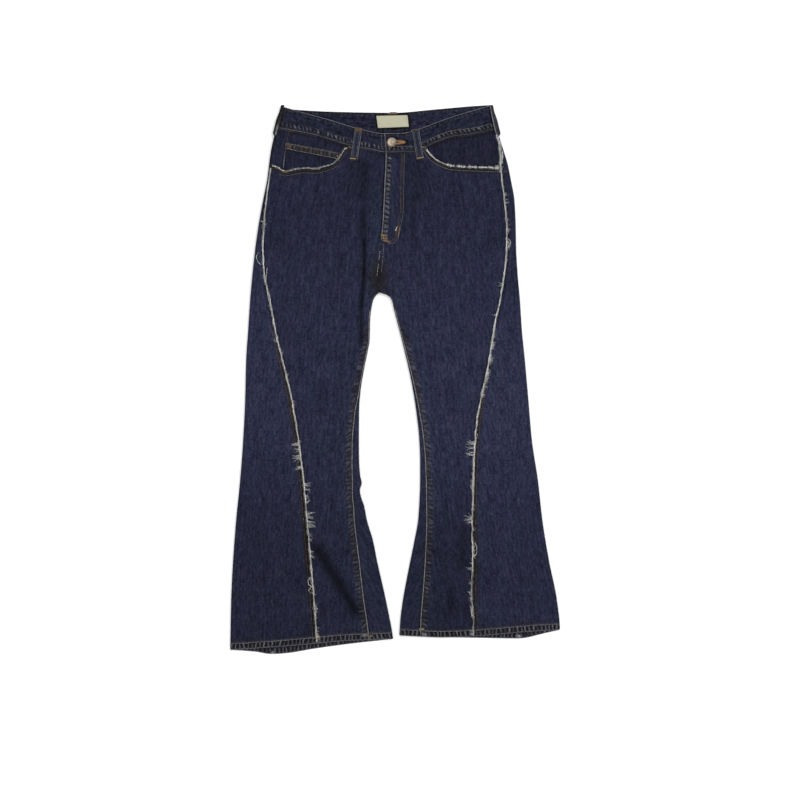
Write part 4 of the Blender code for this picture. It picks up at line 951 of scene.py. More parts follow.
YOKE_TOP_GUESS = 80.0
yoke_seam = Line((-230, 84.0), (-120, 98.0), (-16, 120.0), (90, 98.0), (210, 84.0))
backs = {}
for leg in (RIGHT, LEFT):

    def back_path(down, share, turned, wrapped, leg=leg):
        length = section_length(leg, down)
        start = leg.back_seam(down) + 0.56
        nearer = np.where(down < CROTCH, 0.8 * SEAM, 0.0)
        body = lerp(start, length - FOLD_ARC - 1.5 + nearer, share)
        wrap = wrapped * (leg.inseam(down) - SEAM)
        return -(np.where(turned > 0, length - FOLD_ARC * (1 - turned), body) + wrap)

    turns = (0.2, 0.4, 0.6, 0.8, 1.0)
    wraps = (0.06, 0.12, 0.18, 0.25, 0.32, 0.4, 0.48, 0.56, 0.64, 0.72, 0.8, 0.87, 0.93, 0.97, 1.0)
    flat = 32
    body = flat + len(turns)
    share = np.concatenate([np.linspace(0, 1, flat), np.ones(len(turns) + len(wraps))])[None, :]
    turned = np.concatenate([np.zeros(flat), turns, np.ones(len(wraps))])[None, :]
    wrapped = np.concatenate([np.zeros(body), wraps])[None, :]
    net = Laid(
        leg,
        panel_rows(8, 4.2, 18),
        lambda down: back_path(down, share, turned, wrapped),
        lambda x, front: yoke_seam(x) + SEAM,
    )
    x, down = net.x, net.down
    keep = (down >= CROTCH - 0.01) | (np.arange(x.shape[1])[None, :] < body)
    to_inseam = section_length(leg, down) + leg.inseam(down) - SEAM - np.abs(net.path)
    seat_seam = np.abs(x - middle(np.minimum(down, CROTCH))) + 200.0 * (down > CROTCH)
    on_top = (net.front & (down > CROTCH)).astype(float)
    hem_ropes, hem_relief = net.hem_roping()
    back_seam_groove = 0.3 * hill(np.abs(net.path) - leg.back_seam(down) - 3.0, 1.2)
    points = place(x, down, net.z + hem_relief * on_top + back_seam_groove * (1 - on_top))
    crotch = crotch_patch(x, down) * on_top
    tone = front_tone[leg.name](down) + 0.08 - 0.35 * hill(net.from_hem - 10.0, 1.3) - 0.3 * crotch
    tone = tone - 0.30 * hill(to_inseam, 1.2) * on_top
    # Painted shade where the back turns over the inner fold.
    tone = tone - 0.25 * hill(np.abs(net.path) - section_length(leg, down), 3.0)
    numbers = {
        "wear": net.hem_wear() + 0.9 * raw_seam_end(x, down),
        "tone": tone,
        "stain": most(net.hem_stain(), 0.85 * crotch, 0.4 * hill(to_inseam, 1.2) * on_top),
        "cool": 0.2 * on_top,
        "rope_down": np.maximum(
            between(to_inseam, 1.0, 7.0, 2.5) * 0.15 * on_top, between(seat_seam, 2.0, 9.0, 2.0) * 0.4
        ),
        "rope_over": hem_ropes,
        "polish": net.hem_polish(),
    }
    piece = make_cloth(
        f"back_{leg.name}_cloth", points, net.up, net.cloth, numbers, (net.path, down),
        keep=keep, fullness=net.hem_fullness(),
    )
    shown = np.where(keep[..., None], points, points[:, body - 1 : body])
    backs[leg.name] = finish_sheet(piece, shown, f"back_{leg.name}")

    level = np.linspace(0, 1, 14)[:, None]
    share, turned = share[:, :body], turned[:, :body]
    down = np.full((14, body), YOKE_TOP_GUESS)
    for _ in range(8):
        path = back_path(down, share, turned, 0.0)
        x, _, _ = section(leg, down, path)
        top = back_band_seam(x) + SEAM
        down = lerp(top, yoke_seam(x) - SEAM, level)
    points = place(x, down, lift(down))
    numbers = {
        "wear": 0.1 * hill(down - top, 1.5),
        "rope_over": between(yoke_seam(x) - down, 1.0, 9.0, 2.0) * 0.4,
    }
    piece = make_cloth(f"yoke_{leg.name}_cloth", points, -1, CLOTH, numbers, (path, down))
    backs["yoke_" + leg.name] = finish_sheet(piece, points, f"yoke_{leg.name}")

# ---- Back pockets ------------------------------------------------------------------------
# Two five-cornered patches under the seat, with a hemmed top and a double row of stitches
# round the sides. The garment rests on them.

POCKET_TOP = 134.0
POCKET_HALF = 74.0
POCKET_FROM_MIDDLE = 34.0
POCKET_SIDE, POCKET_TIP = 128.0, 156.0
POCKET_TAPER = 0.93


def pocket_turn(leg):
    return leg.side * math.radians(4)


def pocket_centre(leg):
    return float(middle(POCKET_TOP)) + leg.side * (POCKET_FROM_MIDDLE + POCKET_HALF)


def pocket_place(leg, local_x, local_down):
    """x and down of a place on a back pocket, measured from the middle of its top edge."""
    turn = pocket_turn(leg)
    x = pocket_centre(leg) + local_x * math.cos(turn) - local_down * math.sin(turn)
    return x, POCKET_TOP + local_x * math.sin(turn) + local_down * math.cos(turn)


back_pockets = {}
for leg in (RIGHT, LEFT):
    across = np.sin(np.linspace(-1, 1, 49) * math.pi / 2)[None, :]
    level = (1 - np.cos(np.linspace(0, 1, 49) * math.pi))[:, None] / 2
    depth = POCKET_TIP - (POCKET_TIP - POCKET_SIDE) * np.abs(across)
    local_down = level * depth
    local_x = across * POCKET_HALF * lerp(1.0, POCKET_TAPER, local_down / POCKET_SIDE)
    x, down = pocket_place(leg, local_x, local_down)
    from_side = POCKET_HALF * (1 - np.abs(across))
    from_end = depth * (1 - level)
    from_rim = np.minimum(from_side, np.minimum(from_end, local_down))
    points = place(x, down, 0.25 + 0.3 * hill(from_rim, 1.5))
    numbers = {
        "wear": 0.2 * hill(from_rim, 1.2),
        "tone": -0.2 * hill(from_rim - 5.0, 3.0),
        "rope_down": between(np.minimum(from_side, from_end), 1.0, 8.0, 2.0) * 0.4,
        "rope_over": between(local_down, 2.0, 16.0, 3.0) * 0.5,
    }
    piece = make_cloth(
        f"back_pocket_{leg.name}_cloth", points, -1, 0.85, numbers, (local_x, local_down),
        fullness=rounded(from_rim, 1.2, 0.4),
    )
    back_pockets[leg.name] = finish_sheet(piece, points, f"back_pocket_{leg.name}")

# ---- Waistband ---------------------------------------------------------------------------
# One strip of the denim, doubled, cut along the warp, from the right end under the fly round
# the back to the left end. Rows of stitches along both edges draw it into small ropes.

BAND_CLOTH = 2.2
BAND_HEIGHT = 2 * BAND_CLOTH + GAP
band_denim = denim(
    "denim_along",
    warm=(0.0088, 0.0068, 0.0250), cool=(0.0056, 0.0086, 0.0220), pale=(0.25, 0.26, 0.29),
    raised=0.42, hollow_shade=0.10, patchy=2.6, warp_along_band=True,
)
front_band_top = Line(
    (-204, 5.0), (-160, 17.5), (-116, 29.5), (-71, 43.2), (-17, 53.8), (12, 53.6), (32, 50.0), (60, 39.8),
    (108, 22.5), (177, 2.4),
)
back_band_top = Line((-204, 5.0), (-184, 10.4), (-98, 14.9), (-3, 16.4), (73, 10.4), (143, 4.3), (177, 2.4))
band_rows = np.array(
    [0, 0.012, 0.03, 0.055, 0.085, 0.12, 0.17, *np.linspace(0.23, 0.78, 19),
     0.83, 0.87, 0.9, 0.925, 0.95, 0.97, 0.985, 1.0]
)[:, None]


def band_part(leg, front, turns=None, shares=None):
    """x, down and height of a stretch of the band: round a fold, or from it inwards."""
    top, seam = (front_band_top, front_band_seam) if front else (back_band_top, back_band_seam)
    inward = -leg.side
    if not front:
        end = -15.3
    elif leg is RIGHT:
        end = 8.0
    else:
        end = lerp(-18.4, -15.6, band_rows)
    down = 30.0 + 0 * band_rows
    for _ in range(9):
        fold = leg.fold(down)
        if turns is not None:
            x = fold + inward * FOLD_RADIUS * (1 - np.cos(turns))
        else:
            x = lerp(fold + inward * FOLD_RADIUS, end, shares)
        down = lerp(top(x), seam(x), band_rows)
    if turns is not None:
        z = FOLD_RADIUS + (1 if front else -1) * FOLD_RADIUS * np.sin(turns) + 0 * x
    elif front:
        z = lerp(BAND_HEIGHT, 2 * FOLD_RADIUS, fold_swell(np.abs(x - fold) - FOLD_RADIUS))
        if leg is LEFT:
            z = z + (BAND_CLOTH + GAP) * (1 - ease((x - 13.0) / 24.0))
    else:
        z = 0 * x
    side = np.full(x.shape, 1.0 if front else -1.0)
    return x, down, z + lift(down), side


arc = np.linspace(0, math.pi / 2, 5)[None, :]
inwards = (1 - np.cos(np.linspace(0, 1, 136) * math.pi))[None, :] / 2
stretches = (
    band_part(RIGHT, True, shares=inwards[:, :0:-1]),
    band_part(RIGHT, True, turns=arc[:, ::-1]),
    band_part(RIGHT, False, turns=arc[:, 1:]),
    band_part(RIGHT, False, shares=inwards[:, 1:]),
    band_part(LEFT, False, shares=inwards[:, -2:0:-1]),
    band_part(LEFT, False, turns=arc[:, ::-1]),
    band_part(LEFT, True, turns=arc[:, 1:]),
    band_part(LEFT, True, shares=inwards[:, 1:]),
)
x, down, z, side = (np.concatenate(part, axis=1) for part in zip(*stretches))
points = place(x, down, z)
run = np.linalg.norm(np.diff(points[16], axis=0), axis=1)
along = np.concatenate([[0.0], np.cumsum(run)])[None, :] / MM + 0 * x
height = np.linalg.norm(points[-1] - points[0], axis=1)[None, :] / MM
from_top, from_seam = band_rows * height, (1 - band_rows) * height
from_fly = (along[:, -1:] - along) + 0 * x
front = (side > 0).astype(float)
raised = np.where(x < 0, between(from_seam, 4.0, 10.2, 2.4), between(from_seam, 4.2, 9.6, 2.4))
lower_ropes = raised * lerp(0.15, 0.9, front)
upper_ropes = between(from_top, 3.0, 7.0, 2.0) * 0.25
ripple = 0.25 * np.sin(along * 0.785 + 1.3 * np.sin(along * 0.19)) * lower_ropes * front
groove = 0.35 * (hill(from_top - 2.6, 0.8) + hill(from_seam - 2.6, 0.8) + 0.6 * hill(from_seam - 10.5, 0.8))
points = place(x, down, z + (ripple - groove) * np.where(side > 0, 1.0, -0.4))
edge = np.minimum(np.minimum(from_top, from_fly), from_seam + 0.4)
to_button = np.hypot(x + 3.6, down - 70.7)
to_slit = np.hypot(x - np.clip(x, 1.0, 19.5), down - 70.1)
past_label_end = np.abs(x + 2.3 + 0.08 * (32.0 - down)) - 28.6
to_label = np.maximum(past_label_end, np.abs(down - 32.2 + 0.03 * x) - 11.0)
# Painted shadow round the button, the keyhole and the label, beside the left side loop and in the top corner
# at the right end; the right end is also stained brown.
shaded = np.maximum(hill(to_button - 9.4, 2.2), hill(to_slit - 3.6, 2.0)) * front
shaded = np.maximum(shaded, hill(to_label - 1.0, 1.8) * (1 - front))
by_right_end = hill(x - RIGHT.fold(down), 9.0)
corner = hill(np.hypot(x + 203.0, down - 6.0), 9.0)
by_left_loop = hill(LEFT.fold(down) - x - 6.6, 1.5) * front
painted_shade_and_stain = most(0.75 * shaded, 0.55 * by_left_loop, 0.35 * by_right_end, 0.7 * corner)
# The band is darker and browner between its lower rows towards its left end.
darker_between_rows = 0.26 * between(from_seam, 3.6, 9.2, 2.0) * ease((x - 40.0) / 30.0) * front
top_wear = 0.75 * hill(from_top, 0.75) * lerp(0.25, 1.0, front)
seam_wear = lerp(0.26, 0.42, x < 0) * hill(from_seam - 0.3, 0.6)
# Painted shade along the grooves of the top and bottom rows of stitches, with a stain along the bottom
# groove.
tone = -0.30 - 0.45 * hill(from_top - 2.6, 1.2) - 0.5 * hill(from_seam - 2.4, 1.2)
numbers = {
    "wear": most(top_wear, seam_wear, 0.60 * hill(from_fly, 1.1) * front),
    "tone": tone + lerp(0.16 * ease(x / 30.0), 0.08, front) - painted_shade_and_stain - darker_between_rows,
    "stain": most(0.8 * shaded, 0.7 * by_right_end, 0.45 * hill(from_seam - 2.6, 1.5), 1.6 * darker_between_rows),
    "cool": 0.2 * front,
    "rope_over": np.maximum(lower_ropes, upper_ropes),
}
waistband = make_cloth(
    "waistband_cloth", points, side, BAND_CLOTH, numbers, (along, from_top),
    fullness=rounded(edge, 1.4, 0.3),
)
finish_sheet(waistband, points, "waistband", band_denim)

# ---- Belt loops --------------------------------------------------------------------------
# Five straps of folded denim, sewn down at both ends: two in front, one on each side and one
# at the middle of the back. The front ones stand off the waistband between their ends.

LOOP_WIDTH = 12.6
LOOP_CLOTH = 1.2
# The middle of each front loop's two ends: x1, down1, x2, down2.
FRONT_LOOPS = {"right": (-64.4, 43.5, -72.6, 100.0), "left": (37.6, 46.5, 46.2, 100.0)}
SIDE_LOOP_EDGES = (-1.8, 6.5)
SIDE_LOOP_ENDS = (3.2, 58.0)
BACK_LOOP_MIDDLE = -2.3
BACK_LOOP_ENDS = (15.0, 66.0)


class Bed:
    """The top of some pieces, or their underside, found by a straight drop at any place."""

    def __init__(self, *pieces, under=False):
        corners, faces = [], []
        for piece in pieces:
            first = len(corners)
            corners += [corner.co.copy() for corner in piece.data.vertices]
            faces += [[first + i for i in face.vertices] for face in piece.data.polygons]
        self.tree = BVHTree.FromPolygons(corners, faces)
        self.start = -30.0 if under else 60.0
        self.way = Vector((0, 0, 1 if under else -1))

    def height(self, x, down, missing=0.0):
        spots = place(x, down, self.start)
        hits = [self.tree.ray_cast(Vector(spot), self.way)[0] for spot in spots.reshape(-1, 3)]
        heights = [hit.z / MM if hit else missing for hit in hits]
        return np.array(heights).reshape(spots.shape[:-1])


def loop_numbers(from_side, from_end, pale=0.0, brown=0.0):
    """A loop's wear and tones, with extra pale and brown places where they are given."""
    ridge = hill(from_side - LOOP_WIDTH / 2, 2.0)
    return {
        "wear": most(0.42 * hill(from_side, 0.8), 0.14 * hill(from_end, 1.0), pale),
        "tone": 0.25 - 0.35 * ridge - 0.25 * hill(from_side - 2.4, 1.0) - 0.3 * brown,
        "stain": 0.20 * ridge + brown,
        "cool": 0.4 + 0.0 * from_side,
        "rope_down": between(from_side, 0.8, 4.6, 1.5) * 0.55,
    }


band_bed = Bed(waistband, *fronts.values(), *facings.values(), coin_pocket)
loops = {}
for name, (x1, down1, x2, down2) in FRONT_LOOPS.items():
    length = math.hypot(x2 - x1, down2 - down1)
    side_x, side_down = (down2 - down1) / length, -(x2 - x1) / length
    stations = np.linspace(0, 1, 11)
    sideways, lengthways = np.array([(s, d) for s in (-1, -0.5, 0, 0.5, 1) for d in (-3, 0, 3)]).T
    near_x = lerp(x1, x2, stations)[:, None] + side_x * LOOP_WIDTH / 2 * sideways
    near_down = lerp(down1, down2, stations)[:, None] + side_down * LOOP_WIDTH / 2 * sideways + lengthways
    bed = band_bed.height(near_x, near_down).max(axis=1)
    t = np.linspace(0, 1, 44)[:, None]
    off = np.sin(np.linspace(-1, 1, 17) * math.pi / 2)[None, :] * LOOP_WIDTH / 2
    x = lerp(x1, x2, t) + side_x * off
    down = lerp(down1, down2, t) + side_down * off
    from_side = LOOP_WIDTH / 2 - np.abs(off) + 0 * t
    from_end = length * np.minimum(t, 1 - t) + 0 * off
    welt = 0.30 * hill(from_side - 1.6, 1.3) - 0.25 * hill(from_side - 6.3, 1.6)
    z = np.interp(t, stations, bed) + GAP + 1.4 * np.sin(math.pi * t) ** 2 + LOOP_CLOTH + welt - 0.2
    points = place(x, down, z - 0.5 * hill(from_end - 2.6, 1.0))
    fullness = rounded(np.minimum(from_side, from_end), 1.0)
    numbers = loop_numbers(from_side, from_end)
    piece = make_cloth(
        f"loop_front_{name}_cloth", points, 1, LOOP_CLOTH, numbers, (off + 0 * t, length * t + 0 * off),
        fullness=fullness,
    )
    loops[name] = finish_sheet(piece, points, f"loop_front_{name}")

for leg in (RIGHT, LEFT):
    path = np.linspace(*SIDE_LOOP_EDGES, 15)[None, :]
    down = np.linspace(*SIDE_LOOP_ENDS, 32)[:, None] + 0 * path
    path = path + 0 * down
    x, z, _ = section(leg, down, path)
    bare = place(x, down, z + lift(down))
    up = np.where(path > FOLD_ARC, 1.0, 0.0)
    flip = float((facing_out(bare, False)[..., 2] * up).sum()) < 0
    arch = 2.3 if leg is RIGHT else 2.7
    stand_off = 1.65 + arch * ease((down - 12.0) / 22.0) * ease((59.0 - down) / 6.0)
    points = bare + facing_out(bare, flip) * stand_off[..., None] * MM
    from_side = np.minimum(path - SIDE_LOOP_EDGES[0], SIDE_LOOP_EDGES[1] - path)
    from_end = np.minimum(down - SIDE_LOOP_ENDS[0], SIDE_LOOP_ENDS[1] - down)
    if leg is RIGHT:
        white = 0.55 * np.maximum(hill(path - 0.4, 0.9), 0.8 * hill(path - 4.4, 0.8))
        white = white * ease((down - 36.0) / 8.0)
        numbers = loop_numbers(from_side, from_end, white, 0.7)
        numbers["tone"] = numbers["tone"] - 0.3 * hill(path - 2.4, 1.4) - 0.55 * ease((34.0 - down) / 14.0)
        numbers["wear"] = white
    else:
        numbers = loop_numbers(from_side, from_end, 0.50 * hill(path - 6.0, 0.8), 0.45)
        numbers["tone"] = numbers["tone"] + 0.35 * hill(path - 3.4, 1.6) - 0.3 * ease((16.0 - down) / 10.0)
        numbers["wear"] = numbers["wear"] * ease((57.5 - down) / 3.0)
    piece = make_cloth(
        f"loop_side_{leg.name}_cloth", points, up, LOOP_CLOTH, numbers, (path, down),
        fullness=rounded(np.minimum(from_side, from_end), 1.0),
    )
    loops["side_" + leg.name] = finish_sheet(piece, points, f"loop_side_{leg.name}")

off = np.linspace(-LOOP_WIDTH / 2, LOOP_WIDTH / 2, 15)[None, :]
down = np.linspace(*BACK_LOOP_ENDS, 30)[:, None] + 0 * off
off = off + 0 * down
from_side = LOOP_WIDTH / 2 - np.abs(off)
from_end = np.minimum(down - BACK_LOOP_ENDS[0], BACK_LOOP_ENDS[1] - down)
points = place(off + BACK_LOOP_MIDDLE, down, 0.1 + 0.15 * hill(from_side - LOOP_WIDTH / 2, 2.0))
piece = make_cloth(
    "loop_back_cloth", points, -1, 1.0, loop_numbers(from_side, from_end), (off, down),
    fullness=rounded(np.minimum(from_side, from_end), 1.0),
)
loops["back"] = finish_sheet(piece, points, "loop_back")

# ---- Label -------------------------------------------------------------------------------
# A bare strip of cream woven tape inside the back of the waistband, turned under and sewn
# down at its two short ends.

tape = Finish("cream_tape", Roughness=0.8, Specular_IOR_Level=0.2, Sheen_Weight=0.1)
across, along, _ = tape.in_mm(tape.add("ShaderNodeUVMap", {"uv_map": "cloth"}))
ribs = (along * (2 * math.pi / 0.8)).sine() * (across * (2 * math.pi / 0.9)).sine()
soil = tape.cloud(tape.spot(across * 0.12, along * 0.12), detail=3.0)
flecks = tape.cloud(tape.spot(across * 0.9, along * 0.9, 2.0), detail=2.0)
shade = (soil * 0.45 + flecks * 0.40 + ribs * 0.06 + tape.number("tone") + 0.99).within()
cream = tape.tint(tape.blend((soil * 2.0 + 0.5).within(), (0.41, 0.39, 0.285), (0.38, 0.37, 0.275)), shade)
cream_tape = tape.ends_in(Base_Color=cream, Normal=tape.bumped(ribs * 0.3 + flecks, 0.0004, 0.8))

t, s = np.linspace(0, 1, 20)[:, None], np.linspace(0, 1, 44)[None, :]
corner_x = (-32.8, 23.2, 25.6, -29.7)
corner_down = (22.1, 20.9, 41.8, 44.1)
x, down = (lerp(lerp(c[0], c[1], s), lerp(c[3], c[2], s), t) for c in (corner_x, corner_down))
from_end = np.minimum(s, 1 - s) * 57.0 + 0 * t
from_long = np.minimum(t, 1 - t) * 21.5 + 0 * s
wave = 0.10 * np.sin(s * 9.0 + t * 2.0) + 0.08 * np.sin(s * 21.0 - t * 4.0)
points = place(x, down, 4.72 + wave - 0.30 * hill(from_end - 2.0, 0.8) - 0.1 * hill(from_long, 0.8))
numbers = {"tone": -0.12 * hill(from_end - 2.2, 0.7) - 0.10 * hill(from_long, 0.7)}
label = make_cloth(
    "label_tape", points, 1, 0.65, numbers, (x, down),
    fullness=rounded(np.minimum(from_end, from_long), 0.8, 0.4),
)
finish_sheet(label, points, "label", cream_tape)

# ---- Button ------------------------------------------------------------------------------
# A shank button of pale coppery metal, pressed from sheet: a rolled rim round a dished face
# with a low boss in the middle. Its shank is riveted through the right end of the waistband.

metal_wear_and_painted_highlight = Finish("worn_copper", Metallic=1.0, Specular_IOR_Level=0.4)
spot = metal_wear_and_painted_highlight.add("ShaderNodeTexCoord", out="Object")
patina = metal_wear_and_painted_highlight.cloud(spot, scale=420.0, detail=3.0, rough=0.6)
scratch = metal_wear_and_painted_highlight.cloud(spot, scale=2600.0, detail=2.0, rough=0.7)
from_right, from_low, _ = metal_wear_and_painted_highlight.in_mm(spot)
# Besides the patina, the colour is painted lighter towards the top left: a painted highlight.
rub_and_painted_highlight = (patina * 1.8 - from_right * 0.05 + (from_low - 426.0) * 0.02 + 0.32).within()
copper = metal_wear_and_painted_highlight.blend(rub_and_painted_highlight, (0.13, 0.095, 0.068), (0.41, 0.355, 0.29))
worn_copper = metal_wear_and_painted_highlight.ends_in(
    Base_Color=copper,
    Roughness=(scratch * 0.3 + patina * 0.3 + 0.55).within(),
    Normal=metal_wear_and_painted_highlight.bumped(patina * 0.5 + scratch * 0.3, 0.0003, 0.6),
)
button_low, button_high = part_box("button")
centre = (button_low + button_high) / 2
radius = (button_high.x - button_low.x) / 2
rise = button_high.z - button_low.z
bpy.ops.object.select_all(action="DESELECT")
reach, level = 0.9, 0.25
bpy.ops.mesh.primitive_cylinder_add(
    vertices=40, radius=radius * reach, depth=rise * level,
    location=(centre.x, centre.y, button_low.z + rise * level / 2),
)
button = bpy.context.object
button.name = "shank_button"
bpy.ops.object.transform_apply(location=True, rotation=True, scale=True)
bpy.ops.object.mode_set(mode="EDIT")
bpy.ops.mesh.select_mode(type="FACE")
bpy.ops.mesh.select_all(action="DESELECT")
bpy.ops.object.mode_set(mode="OBJECT")
for face in button.data.polygons:
    face.select = face.normal.z > 0.9
bpy.ops.object.mode_set(mode="EDIT")
# Each ring of the face: how far out and how high it is, as shares of the button's size.
for new_reach, new_level in (
    (0.99, 0.38), (1.0, 0.56), (0.97, 0.80), (0.91, 0.95), (0.84, 1.0), (0.77, 0.95), (0.71, 0.82),
    (0.66, 0.74), (0.46, 0.70), (0.36, 0.71), (0.31, 0.80), (0.22, 0.86), (0.10, 0.88),
):
    up = (0, 0, (new_level - level) * rise)
    bpy.ops.mesh.extrude_region_move(TRANSFORM_OT_translate={"value": up})
    share = new_reach / reach
    middle_point = (centre.x, centre.y, button_low.z + new_level * rise)
    bpy.ops.transform.resize(value=(share, share, 1.0), center_override=middle_point)
    reach, level = new_reach, new_level
bpy.ops.object.mode_set(mode="OBJECT")
smoothing = button.modifiers.new("smoothing", "SUBSURF")
smoothing.levels = smoothing.render_levels = 1
bpy.ops.object.modifier_apply(modifier="smoothing")
bpy.ops.object.shade_smooth()
button.data.materials.append(worn_copper)
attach(button, "root")
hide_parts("button")

# ---- Topstitching ------------------------------------------------------------------------
# Lockstitches in thick cotton-wrapped thread, brown to rust on the seams and paler on the
# hems and the waistband. Each stitch is a short plump dash that dips into the cloth.

bpy.ops.object.select_all(action="DESELECT")
bpy.ops.mesh.primitive_uv_sphere_add(segments=6, ring_count=4, radius=0.5, rotation=(0, math.pi / 2, 0))
one_stitch = bpy.context.object
bpy.ops.object.transform_apply(location=True, rotation=True, scale=True)
bpy.ops.object.mode_set(mode="EDIT")
bpy.ops.mesh.select_all(action="SELECT")
bpy.ops.mesh.quads_convert_to_tris()
bpy.ops.object.mode_set(mode="OBJECT")
STITCH_POINTS = np.array([corner.co for corner in one_stitch.data.vertices])
STITCH_FACES = np.array([face.vertices[:] for face in one_stitch.data.polygons])
bpy.data.objects.remove(one_stitch, do_unlink=True)

thread = Finish("topstitch_thread", Roughness=0.7, Specular_IOR_Level=0.25, Sheen_Weight=0.1)
spot = thread.add("ShaderNodeTexCoord", out="Object")
fuzz = thread.cloud(spot, scale=1900.0, detail=2.0, rough=0.7)
soil = thread.cloud(spot, scale=160.0, detail=2.0)
stops = (
    (0.0, (0.012, 0.009, 0.009)),
    (0.15, (0.045, 0.033, 0.020)),
    (0.3, (0.100, 0.068, 0.036)),
    (0.45, (0.150, 0.065, 0.028)),
    (0.56, (0.230, 0.165, 0.085)),
    (0.64, (0.400, 0.330, 0.165)),
    (0.72, (0.350, 0.160, 0.038)),
    (0.80, (0.180, 0.172, 0.168)),
    (0.90, (0.185, 0.178, 0.174)),
    (1.0, (0.390, 0.385, 0.375)),
)
shade = (thread.number("shade") + soil * 0.08).within()
ramp = thread.add("ShaderNodeValToRGB", {"stops": stops}, {0: shade})
topstitch_thread = thread.ends_in(
    Base_Color=thread.tint(ramp, fuzz * 0.9 + 1.0), Normal=thread.bumped(fuzz, 0.0003, 0.8)
)
chance = np.random.default_rng(7)


def thread_piece(name, points, faces, shades, material):
    """Makes one piece of many threads, each point with its own shade."""
    mesh = bpy.data.meshes.new(name)
    mesh.from_pydata(points.tolist(), [], faces)
    mesh.polygons.foreach_set("use_smooth", np.ones(len(mesh.polygons), bool))
    values = shades.astype(np.float32)
    mesh.attributes.new("shade", "FLOAT", "POINT").data.foreach_set("value", values)
    mesh.materials.append(material)
    mesh.update()
    piece = bpy.data.objects.new(name, mesh)
    bpy.context.scene.collection.objects.link(piece)
    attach(piece, "root")
    return piece


def unit(way):
    """Each row's direction, one long."""
    return way / np.linalg.norm(way, axis=1, keepdims=True)


def turned_left(way):
    """Each row's direction, a quarter turn on."""
    return np.stack([-way[:, 1], way[:, 0]], axis=1)


def beside(line, off):
    """A line a fixed distance to one side of another, below it where it runs to the left leg."""
    way = np.gradient(line, axis=0)
    way = unit(way)
    return line + turned_left(way) * off


def spaced(line, pitch):
    """Places every pitch along a line, and the line's way there."""
    line = np.asarray(line, float)
    run = np.concatenate([[0.0], np.cumsum(np.linalg.norm(np.diff(line, axis=0), axis=1))])
    at = np.arange(pitch / 2, run[-1], pitch)
    spot = np.stack([np.interp(at, run, line[:, i]) for i in (0, 1)], axis=1)
    ahead = np.stack([np.interp(at + 0.5, run, line[:, i]) for i in (0, 1)], axis=1)
    behind = np.stack([np.interp(at - 0.5, run, line[:, i]) for i in (0, 1)], axis=1)
    way = ahead - behind
    return spot, way / np.maximum(np.linalg.norm(way, axis=1, keepdims=True), 1e-9)


def row(line, shade, spread=0.05, pitch=3.2, length=2.7, width=0.62, crooked=0.10):
    """A row of stitches along a line: one line of numbers for each stitch."""
    spot, way = spaced(line, pitch)
    count = len(spot)
    side = turned_left(way)
    spot = spot + side * chance.normal(0, 0.12, (count, 1))
    way = way + side * chance.normal(0, crooked, (count, 1))
    long, thick = length * chance.uniform(0.85, 1.1, count), width * chance.uniform(0.85, 1.15, count)
    size = np.stack([long, thick], axis=1)
    shades = np.clip(shade + chance.normal(0, spread, (count, 1)), 0, 1)
    return np.concatenate([spot, way, size, shades], axis=1)


def tack(x1, down1, x2, down2, width, shade, spread=0.05):
    """A bar tack: a short bar of stitches laid side by side across it."""
    spot, way = spaced([(x1, down1), (x2, down2)], 0.62)
    count = len(spot)
    spot = spot + chance.normal(0, 0.08, (count, 2))
    slant = np.where(np.arange(count) % 2, 0.16, -0.16)[:, None]
    over = turned_left(way) + way * slant
    size = np.stack([np.full(count, width) * chance.uniform(0.9, 1.1, count), np.full(count, 0.72)], axis=1)
    shades = np.clip(shade + chance.normal(0, spread, (count, 1)), 0, 1)
    return np.concatenate([spot, over, size, shades], axis=1)


def sew(name, rows, bed, under=False, sunk=0.05):
    """Lays stitches on the cloth and makes one piece of them."""
    stitches = np.concatenate(rows)
    spot, way = stitches[:, 0:2], stitches[:, 2:4]
    length, width, shade = stitches[:, 4:].T
    way = unit(way)
    half = way * length[:, None] * 0.42
    ends = np.stack([spot - half, spot, spot + half], axis=1)
    heights = bed.height(ends[..., 0], ends[..., 1], missing=np.nan)
    kept = ~np.isnan(heights).any(axis=1)
    ends, heights, length, width, shade = (a[kept] for a in (ends, heights, length, width, shade))
    up = -1.0 if under else 1.0
    level = (heights[:, 0] + heights[:, 2]) / 4 + heights[:, 1] / 2 + up * (width * 0.22 - sunk)
    first, last = (place(ends[:, i, 0], ends[:, i, 1], heights[:, i]) for i in (0, 2))
    along = last - first
    along = unit(along)
    over = np.cross(np.array([0.0, 0.0, 1.0]), along)
    over = unit(over)
    square = np.cross(along, over)
    length, width = length[:, None], width[:, None]
    axes = np.stack([along * length, over * width, square * width * 0.8], axis=1) * MM
    middles = place(ends[:, 1, 0], ends[:, 1, 1], level)[:, None, :]
    points = middles + np.einsum("pk,nkc->npc", STITCH_POINTS, axes)
    count, each = points.shape[:2]
    faces = STITCH_FACES[None] + (np.arange(count) * each)[:, None, None]
    faces = faces.reshape(-1, 3).tolist()
    return thread_piece(name, points.reshape(-1, 3), faces, np.repeat(shade, each), topstitch_thread)


def down_leg(leg, start, end, path_at):
    """A line down a leg at a path from its outer fold."""
    down = np.arange(start, end, 2.0)
    x, _, _ = section(leg, down, path_at(down))
    return np.stack([x, down], axis=1)


def inseam_end(leg, down):
    return section_length(leg, down) - leg.inseam(down) - SEAM


